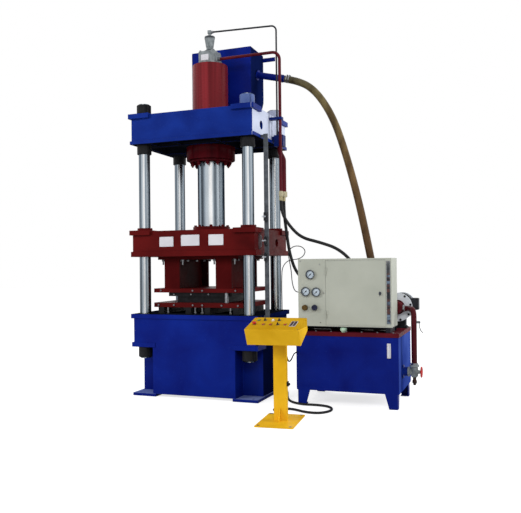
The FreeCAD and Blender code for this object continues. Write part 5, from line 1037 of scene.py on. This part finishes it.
def dress_tank():
    """Round outlet stub, clamps, level gauge, filler cap and hose flange on the tanks."""
    start, end = np.array([0.434, 0.45, 3.845]), np.array([0.796, 0.45, 3.758])
    way = unit(end - start)
    stub = [turned(mm((40.2, 0), (40.2, 371), (39.2, 372.2)), start, way, 48),
            lathe(collar(0.0405, 0.062, 0.012), start + way * 0.004, way, 48)]
    shape_piece("outlet_stub_round", stub, "tank_blue", TANK_BLUE)
    bands = clamp_band(end + way * 0.025, way, HOSE_R) + clamp_band(end + way * 0.055, way, HOSE_R)
    bands += clamp_band((*HOSE_FOOT, 0.89), UP, HOSE_R) + clamp_band((*HOSE_FOOT, 0.92), UP, HOSE_R)
    shape_piece("hose_clamps", bands)
    flange = [turned(mm((73, 0), (75, 2), (75, 14), (73, 16), (47, 17), (44, 21), (44, 80), (42, 82)),
                     (*HOSE_FOOT, LID_TOP), UP, 64)]
    for x, y in bolt_circle(6, 0.122, 0.4):
        flange += hex_bolt((HOSE_FOOT[0] + x, HOSE_FOOT[1] + y, 0.794), UP, 0.014, 0.008)
    shape_piece("hose_flange_steel", flange, node="tank_fittings")
    cap = [turned(mm((24, 0), (24, 14), (33, 15), (34, 18), (34, 42), (30, 48), (20, 50)),
                  (*FILLER, LID_TOP), UP, 56)]
    ribs = lathe(mm((34.5, 0), (34.5, 22), (33, 22), (33, 0)), (*FILLER, 0.798), UP, 120,
                 lambda t: 0.0012 * (np.cos(t * 30) > 0), (0, 1))
    shape_piece("filler_cap", cap + [ribs], "bare_steel", PALE_CAP, "tank_fittings")
    back = [plate((SIGHT_X, TANK_FRONT, 0.599), FRONT, UP, 0.039, 0.152, 0.006, 0.004, 0.0006)]
    for z in (0.536, 0.662):
        back.append(plate((SIGHT_X, TANK_FRONT - 0.006, z), FRONT, UP, 0.03, 0.022, 0.01, 0.004, 0.001))
        back += cap_screw((SIGHT_X, TANK_FRONT - 0.0055, z), FRONT, 0.013, 0.0102)
    shape_piece("level_gauge_back", back, "bare_steel", LABEL, "tank_fittings")
    glass = [tube([(SIGHT_X, GLASS_Y, 0.546), (SIGHT_X, GLASS_Y, 0.6), (SIGHT_X, GLASS_Y, 0.652)], 0.005,
                  20)]
    shape_piece("level_gauge_glass", glass, "bare_steel", SIGHT_GLASS)
    seams = []
    for x in (1.178, 2.266):
        for y in (-0.414, 0.414):
            seams.append(bead((x, y, 0.165), (x, y, 0.73), 0.003))
    shape_piece("tank_welds", seams, "tank_blue", TANK_BLUE, smooth=60)
    lid = []
    for x in np.linspace(1.23, 2.214, 7):
        for y in (-0.4, 0.4):
            lid += hex_bolt((x, y, LID_TOP), UP, 0.016, 0.009)
    shape_piece("lid_bolts", lid)
    header = []
    for x in (-0.35, 0.434):
        header.append(bead((x, 0.232, 3.25), (x, 0.232, 4.13), 0.003))
        header.append(bead((x, 0.6612, 3.56), (x, 0.6612, 4.13), 0.003))
    shape_piece("header_tank_welds", header, "tank_blue", TANK_BLUE, smooth=60)


def set_suction_valve():
    """Angle valve: flanged run, turned tower, bonnet, drain cock and sample tap."""
    x, y, z = VALVE_AT
    flange = mm((50, 0), (52, 2), (52, 14), (50, 16), (34, 18), (33, 20), (33, 91))
    tower = mm((26, -56), (30, -50), (36, -44), (38, -34), (38, 36), (34, 50), (48, 54), (50, 56),
               (50, 71), (48, 73))
    socket = mm((32, 0), (32, 10), (22, 14), (20, 18), (20, 34), (13, 38), (6.2, 38), (6.2, 0))
    foot = mm((14, -82), (14, -68), (22, -64), (24, -60), (24, -34), (18, -30), (18, -2))
    cast = [turned(flange, (x - 0.067, y, z), RIGHT, 48), turned(tower, (x, y, z), UP, 56),
            lathe(socket, (x + 0.02, y, z), RIGHT, 48), turned(foot, (x, y, z - 0.056), UP, 40)]
    cast += [turned(mm((13, 27.5), (13, 50), (12, 53), (5, 53), (5, 67)), (x, y, 0.88), RIGHT, 32)]
    for u, v in bolt_circle(4, 0.084, np.pi / 4):
        cast += hex_bolt((x - 0.051, y + u, z + v), RIGHT, 0.012, 0.008)
        cast += hex_bolt((x + u, y + v, z + 0.054), DOWN, 0.011, 0.007)
    shape_piece("suction_valve_cast", cast, "grey_cast", CAST, "suction_valve")
    sleeve = [lathe(mm((29.5, 0), (66, 0), (68, 2), (68, 12), (66, 14), (46, 18), (45, 56), (29.5, 56)),
                    (2.2685, y, z), RIGHT, 56)]
    shape_piece("tank_outlet_sleeve", sleeve, "tank_blue", CROWN_BLUE)
    t, s = turn_steps(64), turn_steps(14)
    centre = np.array([x + 0.072, y, z])
    out = np.stack([0 * t, np.cos(t), np.sin(t)], axis=1)
    ring = centre + WHEEL_R * out[:, None] + 0.0075 * spokes(s, out, np.array([-1, 0, 0]))
    wheel = [loop_skin(ring), turned(mm((11.5, -6), (13, -4), (13, 6), (11, 7.8)), centre, RIGHT, 32),
             turned(mm((5.8, 0), (5.8, 38)), (x + 0.03, y, z), RIGHT, 24)]
    for k in range(5):
        a = 2 * np.pi * k / 5 + 0.3
        way = np.array([0, math.cos(a), math.sin(a)])
        wheel.append(tube([centre + way * 0.01, centre + way * 0.03, centre + way * 0.048],
                          [0.005, 0.004, 0.0038], 12))
    shape_piece("valve_handwheel_red", wheel, "red_paint", RED_PLASTIC, "valve_handwheel",
                body="valve_handwheel", smooth=50)


# ======== motor
MOTOR_AT = np.array([2.19, 0, 1.02])
BOX_Y, BOX_Z = 0.245, 1.045


def set_motor():
    """Round stator with cooling fins, end shields, feet, terminal box and a slotted fan cowl."""
    y0, y1, r = 0.15, 0.365, 0.128
    frame_loop = [(0.134, y0), (0.136, y0 + 0.002), (0.136, y0 + 0.014), (0.128, y0 + 0.018), (0.128, y1),
                  (0.0195, y1), (0.0195, y1 - 0.02), (0.076, y1 - 0.02), (0.076, y0 + 0.02),
                  (0.0195, y0 + 0.02), (0.0195, y0)]
    shells = [lathe(frame_loop, MOTOR_AT, BACK, 96)]
    for k in range(44):
        a = 2 * np.pi * (k + 0.5) / 44
        out = np.array([math.sin(a), 0, math.cos(a)])
        if abs(out[0]) < 0.62 and out[2] < 0:
            continue
        spot = MOTOR_AT + out * (r - 0.002)
        shells.append(plate(spot + np.array([0, (y0 + y1) / 2 + 0.005, 0]), out, BACK, 0.0034,
                            y1 - y0 - 0.036, 0.017, 0.0008, 0.0005))
    for y in (y0 + 0.07, y1 - 0.07):
        shells.append(plate((2.175, y, LID_TOP), UP, BACK, 0.18, 0.05, 0.014, 0.004, 0.001))
        shells.append(plate((2.175, y, 0.79), UP, BACK, 0.14, 0.034, 0.126, 0.003, 0.001))
        for x in (2.1, 2.25):
            shells += hex_bolt((x, y, 0.792), UP, 0.016, 0.009)
    shells.append(plate((2.312, BOX_Y, BOX_Z), RIGHT, UP, 0.11, 0.13, 0.064, 0.006, 0.002))
    shells.append(plate((2.376, BOX_Y, BOX_Z), RIGHT, UP, 0.106, 0.126, 0.0135, 0.006, 0.002))
    for y in (-0.042, 0.042):
        for z in (-0.052, 0.052):
            shells += cap_screw((2.3893, BOX_Y + y, BOX_Z + z), RIGHT, 0.008, 0.0006)
    shape_piece("motor_frame", shells, "dark_steel", DARK, "motor_body")
    end = y1 + 0.072
    cowl = [(0.146, y1 - 0.01), (0.146, end - 0.018), (0.142, end - 0.008), (0.13, end - 0.001),
            (0.104, end), (0.036, end), (0.02, end), (0.02, end - 0.002), (0.036, end - 0.002),
            (0.104, end - 0.002), (0.128, end - 0.003), (0.1435, end - 0.02), (0.1435, y1 - 0.002),
            (0.1283, y1 - 0.002), (0.1283, y1 - 0.01)]
    shells = [lathe(cowl, MOTOR_AT, BACK, 128)]
    shape_piece("fan_cowl", shells, "dark_steel", COWL, "motor_body")
    slots = []
    for k in range(18):
        a = 2 * np.pi * k / 18
        out = np.array([math.sin(a), 0, math.cos(a)])
        spot = MOTOR_AT + np.array([0, end - 0.0012, 0]) + out * 0.07
        slots.append(plate(spot, BACK, out, 0.011, 0.052, 0.0013, 0.005, 0.0002))
    slots.append(lathe(mm((146.6, 0), (146.6, 12), (145.5, 12), (145.5, 0)), MOTOR_AT + (0, y1 - 0.008, 0),
                       BACK, 96))
    shape_piece("cowl_slots", slots, "dark_steel", BLACK)
    pump = [turned(mm((50, 0), (53, 0), (65, 12), (65, 77), (79, 79), (79, 97)), MOTOR_AT + (0, -0.055, 0),
                   BACK, 56)]
    bell = lathe(mm((155, 0), (155, 18), (122, 22), (120, 30), (120, 108), (108, 108), (108, 18), (24, 18),
                    (24, 0)), MOTOR_AT + (0, 0.042, 0), BACK, 80)
    bolts = []
    for u, v in bolt_circle(6, 0.135, 0.2):
        bolts += cap_screw(MOTOR_AT + (u, 0.022, v), FRONT, 0.014, 0.009)
    for u, v in bolt_circle(8, 0.28, 0.2):
        bolts += hex_bolt(MOTOR_AT + (u, 0.042, v), FRONT, 0.02, 0.012)
    shape_piece("pump_body", pump, "grey_cast", PIPE_RED, "pump_unit")
    shape_piece("pump_bell_white", [bell], "grey_cast", COWL, "pump_unit")
    shape_piece("pump_bolts", bolts, "dark_steel", BLACK)
    coils = []
    for i in range(3):
        x = 1.525 + 0.095 * i
        for s, y in ((-1, 0.015), (1, 0.105)):
            coils.append(turned(mm((25.2, 0), (25.2, 56), (22, 59.6), (9, 60)), (x, y, 1.032), (0, s, 0),
                                36))
    shape_piece("solenoid_coils", coils, "dark_steel", BLACK)


# ======== cabinet
CABINET_FRONT = -0.415
LOCK = (2.085, 1.187)
PANE_X, PANE_Z = 2.172, 1.1965


def dress_cabinet():
    """Gauges with dials and marks, fluted knobs, lock rosette, panel screws and the dark window strip."""
    y = CABINET_FRONT
    rims, dials, marks = [], [], []
    for x, z in ((1.344, 1.386), (1.292, 1.204), (1.408, 1.199)):
        rims.append(lathe(mm((43, 0), (43, 18), (47.5, 18), (49, 19.5), (49, 24.5), (47.5, 26), (42.5, 26),
                             (41, 23.5), (41, 0)), (x, y, z), FRONT, 72))
        dials.append(turned(mm((40.9, 0), (40.9, 9.6), (40.2, 10)), (x, y, z), FRONT, 64))
        for k in range(31):
            a = math.radians(-135 + 9 * k)
            way = np.array([math.sin(a), 0, math.cos(a)])
            long = 0.008 if k % 5 == 0 else 0.0045
            marks.append(plate(np.array([x, y - 0.01, z]) + way * (0.0385 - long / 2), FRONT, way,
                               0.0013 if k % 5 == 0 else 0.0007, long, 0.0003, 0.0002, 0.00005))
        marks.append(turned(mm((3, 0), (3, 16)), (x, y, z), FRONT, 20))
    shape_piece("gauge_rims", rims, "bare_steel", GUNMETAL, "gauge_cases")
    shape_piece("gauge_dials", dials, "bare_steel", DIAL, "gauge_cases")
    shape_piece("gauge_marks", marks, "black_plastic", BLACK_PLASTIC, "gauge_cases")
    for name, x, slot, finish in (("panel_knob_left", 1.284, "bronze", BRONZE),
                                  ("panel_knob_right", 1.39, "black_plastic", DARK_KNOB)):
        z = 1.033 if x < 1.3 else 1.034
        flutes = mm((22.5, 0), (22.5, 9.5), (30.5, 10.5), (31, 13), (31, 35), (29.5, 38), (12, 38),
                    (11.5, 36.5), (0.5, 36.5), (0.5, 0))
        body = lathe(flutes, (x, y - 0.0003, z), FRONT, 120, lambda t: 0.0011 * (1 - np.cos(t * 20)), (3, 4))
        shape_piece(name + "_fluted", [body], slot, finish, name, body=name)
    rosette = [turned(mm((14.5, 0.3), (14.5, 4), (12.5, 5.3), (9, 5.5)), (LOCK[0], y, LOCK[1]), FRONT, 40),
               plate((LOCK[0], y - 0.0045, LOCK[1]), FRONT, UP, 0.008, 0.04, 0.0195, 0.0035, 0.001),
               turned(mm((7.8, 0), (7.8, 27.5)), (LOCK[0], y, LOCK[1]), BACK, 28),
               plate((LOCK[0], y + 0.0226, 1.2075), BACK, UP, 0.018, 0.059, 0.004, 0.004, 0.0006)]
    shape_piece("door_lock_dark", rosette, "bare_steel", GUNMETAL, "door_lock", body="door_lock")
    screws = []
    for x, z in ((1.228, 1.53), (1.445, 1.491), (1.228, 0.853), (1.448, 0.876), (1.228, 1.19),
                 (1.486, 1.19)):
        screws += cap_screw((x, y, z), FRONT, 0.012, 0.004)
    shape_piece("panel_screws", screws)
    strip = [plate((PANE_X, y, PANE_Z), FRONT, UP, 0.042, 0.65, 0.0035, 0.004, 0.0008)]
    shape_piece("window_strip_frame", strip)
    # A dark sheet in the gap under the cabinet, where there is only shade: painted shade.
    shade_sheet = [plate((1.704, -0.1, 0.8045), FRONT, UP, 0.99, 0.05, 0.004, 0.004, 0.0008)]
    shape_piece("cabinet_underside_shade_sheet", shade_sheet, "dark_steel", BLACK)
    pane = [plate((PANE_X, y - 0.0032, PANE_Z), FRONT, UP, 0.032, 0.638, 0.0012, 0.003, 0.0003)]
    shape_piece("window_strip_pane", pane, "bare_steel", PANE)


# ======== console
CONSOLE_TURN = math.radians(5.3)
TILT = math.atan2(0.079, 0.387)
CONSOLE_AT = (1.2718, -1.2405)
PANEL_FOOT = (-0.322, 0.904)


def stand_point(x, y, z):
    """Place on the console stand's own axes, turned with it."""
    c, s = math.cos(CONSOLE_TURN), math.sin(CONSOLE_TURN)
    return np.array([CONSOLE_AT[0] + x * c - y * s, CONSOLE_AT[1] + x * s + y * c, z])


def console_point(across, along, above):
    """Place on the sloping panel: across its width, up its slope from its foot and out of it."""
    y = PANEL_FOOT[0] + along * math.cos(TILT) - above * math.sin(TILT)
    z = PANEL_FOOT[1] + along * math.sin(TILT) + above * math.cos(TILT)
    return stand_point(across, y, z)


PANEL_OUT = console_point(0, 0, 1) - console_point(0, 0, 0)
PANEL_UP = console_point(0, 1, 0) - console_point(0, 0, 0)
PANEL_ACROSS = console_point(1, 0, 0) - console_point(0, 0, 0)
NEAR, FAR, LAMP_X = 0.155, 0.29, -0.052
START_LOOK = ("green_plastic", GREEN_PLASTIC)
STOP_LOOK = ("red_plastic", RED_PLASTIC)


def dress_console():
    """Round bezels, buttons, selectors, lamp, mushroom stop and tilted display on the yellow panel."""
    places = {"emergency_stop": (-0.2, NEAR), "push_button_left": (-0.115, NEAR),
              "push_button_middle": (-0.045, NEAR), "selector_near": (0.025, NEAR),
              "push_button_right": (0.095, NEAR), "start_button": (-0.192, FAR),
              "selector_left": (-0.13, FAR), "selector_far": (0.008, FAR)}
    rings = []
    for name, (a, s) in places.items():
        at = console_point(a, s, 0)
        rings.append(lathe(mm((15.5, 0), (15.5, 4.2), (14.5, 5), (12.1, 5), (12.1, 0)), at, PANEL_OUT, 40))
        if name.startswith("selector"):
            knob = [turned(mm((11, -18), (11, 5.3)), at, PANEL_OUT, 28),
                    turned(mm((13.9, 5.3), (14, 5.8), (14, 9), (12, 10.2)), at, PANEL_OUT, 36),
                    plate(at + PANEL_OUT * 0.0098, PANEL_OUT, PANEL_UP, 0.008, 0.026, 0.0152, 0.003,
                          0.0015)]
            shape_piece(name + "_grip", knob, "black_plastic", BLACK_PLASTIC, name, body=name)
        elif name == "emergency_stop":
            knob = [turned(mm((11, -18), (11, 13.8), (19, 15), (20.7, 17.5), (21, 21.5), (19.5, 25.5),
                              (14.5, 28.3), (7, 29)), at, PANEL_OUT, 48)]
            shape_piece(name + "_mushroom", knob, "red_plastic", RED_PLASTIC, name, body=name)
        else:
            knob = [turned(mm((10.9, -18), (10.9, 7.5), (9.8, 9), (8, 8.6), (3, 8)), at, PANEL_OUT, 36)]
            shape_piece(name + "_cap", knob, *(START_LOOK if name == "start_button" else STOP_LOOK), name,
                        body=name)
    shape_piece("button_bezels", rings)
    at = console_point(LAMP_X, FAR, 0)
    lamp = [turned(mm((15.2, 0), (15.2, 5), (11.8, 6.2), (11.2, 13), (8.5, 16.8), (3, 18.2)), at,
                   PANEL_OUT, 40)]
    shape_piece("panel_lamp", lamp, "bare_steel", LAMP_WHITE)
    at = console_point(0.17, 0.185, 0.005)
    frame_strip = [plate(at - PANEL_OUT * 0.0049, PANEL_OUT, PANEL_UP, 0.0622, 0.1602, 0.0054, 0.004,
                         0.0012)]
    shape_piece("display_frame", frame_strip, "bare_steel", LABEL)
    screen = [plate(at + PANEL_OUT * 0.0004 + across * 0.0145, PANEL_OUT, PANEL_UP, 0.0245, 0.148, 0.0006,
                    0.003, 0.0003) for across in (PANEL_ACROSS, -PANEL_ACROSS)]
    shape_piece("display_screen", screen, "black_plastic", SCREEN)
    tags = []
    for a, s in list(places.values()) + [(LAMP_X, FAR)]:
        tags.append(plate(console_point(a, s + 0.033, 0), PANEL_OUT, PANEL_UP, 0.03, 0.012, 0.0008, 0.0015,
                          0.0003))
    shape_piece("bare_button_tags", tags, "dark_steel", DARK)
    small = []
    for x in (-0.243, 0.243):
        for s in (0.012, 0.383):
            small += cap_screw(console_point(x, s, 0), PANEL_OUT, 0.009, 0.003)
    for x in (-0.1535, 0.1535):
        for y in (-0.247, 0.247):
            small.append(lathe(collar(0.0078, 0.015, 0.0025, 0.0005), stand_point(x, y, 0.012), UP, 28))
    shape_piece("console_screws", small)
    aside = stand_point(1, 0, 0) - stand_point(0, 0, 0)
    behind = stand_point(0, 1, 0) - stand_point(0, 0, 0)
    dark = [plate(stand_point(0.0622, 0.026, 0.3575), aside, UP, 0.0366, 0.0456, 0.0142, 0.003, 0.0006),
            turned(mm((12.2, 0), (12.2, 16.5), (11.2, 18.2)), stand_point(0.074, 0.026, 0.352), aside, 32),
            plate(stand_point(0.04, 0.0602, 0.657), behind, UP, 0.0246, 0.0146, 0.0161, 0.003, 0.0008),
            lathe(collar(0.0131, 0.0172, 0.0222), stand_point(0, 0.0602, 0.062), behind, 36),
            lathe(collar(0.0131, 0.0182, 0.0198), (0.7552, 0.12, 0.062), RIGHT, 36)]
    shape_piece("cable_glands", dark, "black_plastic", BLACK_PLASTIC)
    welds = [bead(stand_point(x0, y0, 0.0125), stand_point(x1, y1, 0.0125), 0.004)
             for x0, y0, x1, y1 in ((-0.0625, -0.0105, 0.0625, -0.0105), (0.0625, -0.0105, 0.0625, 0.0605),
                                    (0.0625, 0.0605, -0.0625, 0.0605), (-0.0625, 0.0605, -0.0625, -0.0105))]
    shape_piece("console_welds", welds, "yellow_paint", YELLOW, smooth=60)


RAIL_X = 0.826


def dress_switches():
    """Covers and screws of the limit switches, clamps of the rail's conduit."""
    lids, small = [], []
    for z in (1.58, 1.76, 2.026):
        lids.append(plate((RAIL_X, -0.387, z), FRONT, UP, 0.038, 0.09, 0.0025, 0.004, 0.0008))
        for dx in (-0.014, 0.014):
            for dz in (-0.04, 0.04):
                small += cap_screw((RAIL_X + dx, -0.3895, z + dz), FRONT, 0.005, 0.0012)
        small += cap_screw((RAIL_X, -0.405, z), FRONT, 0.008, 0.0018)
    for z in (1.0, 1.3, 1.68, 1.9):
        small.append(lathe(collar(0.0082, 0.0098, 0.014, 0.0004), (RAIL_X, -0.332, z), UP, 28))
    shape_piece("switch_lids", lids, "dark_steel", DARK)
    shape_piece("switch_screws", small)


aim_camera()
set_world()
light_studio()
lay_floor()
paint_nodes()
lay_cords()
wind_suction_hose()
set_columns()
set_nuts()
set_cylinder()
set_bushes()
weld_frame()
set_tooling()
hang_plates()
set_valve()
bend_pipes()
dress_tank()
set_suction_valve()
set_motor()
dress_cabinet()
dress_console()
dress_switches()
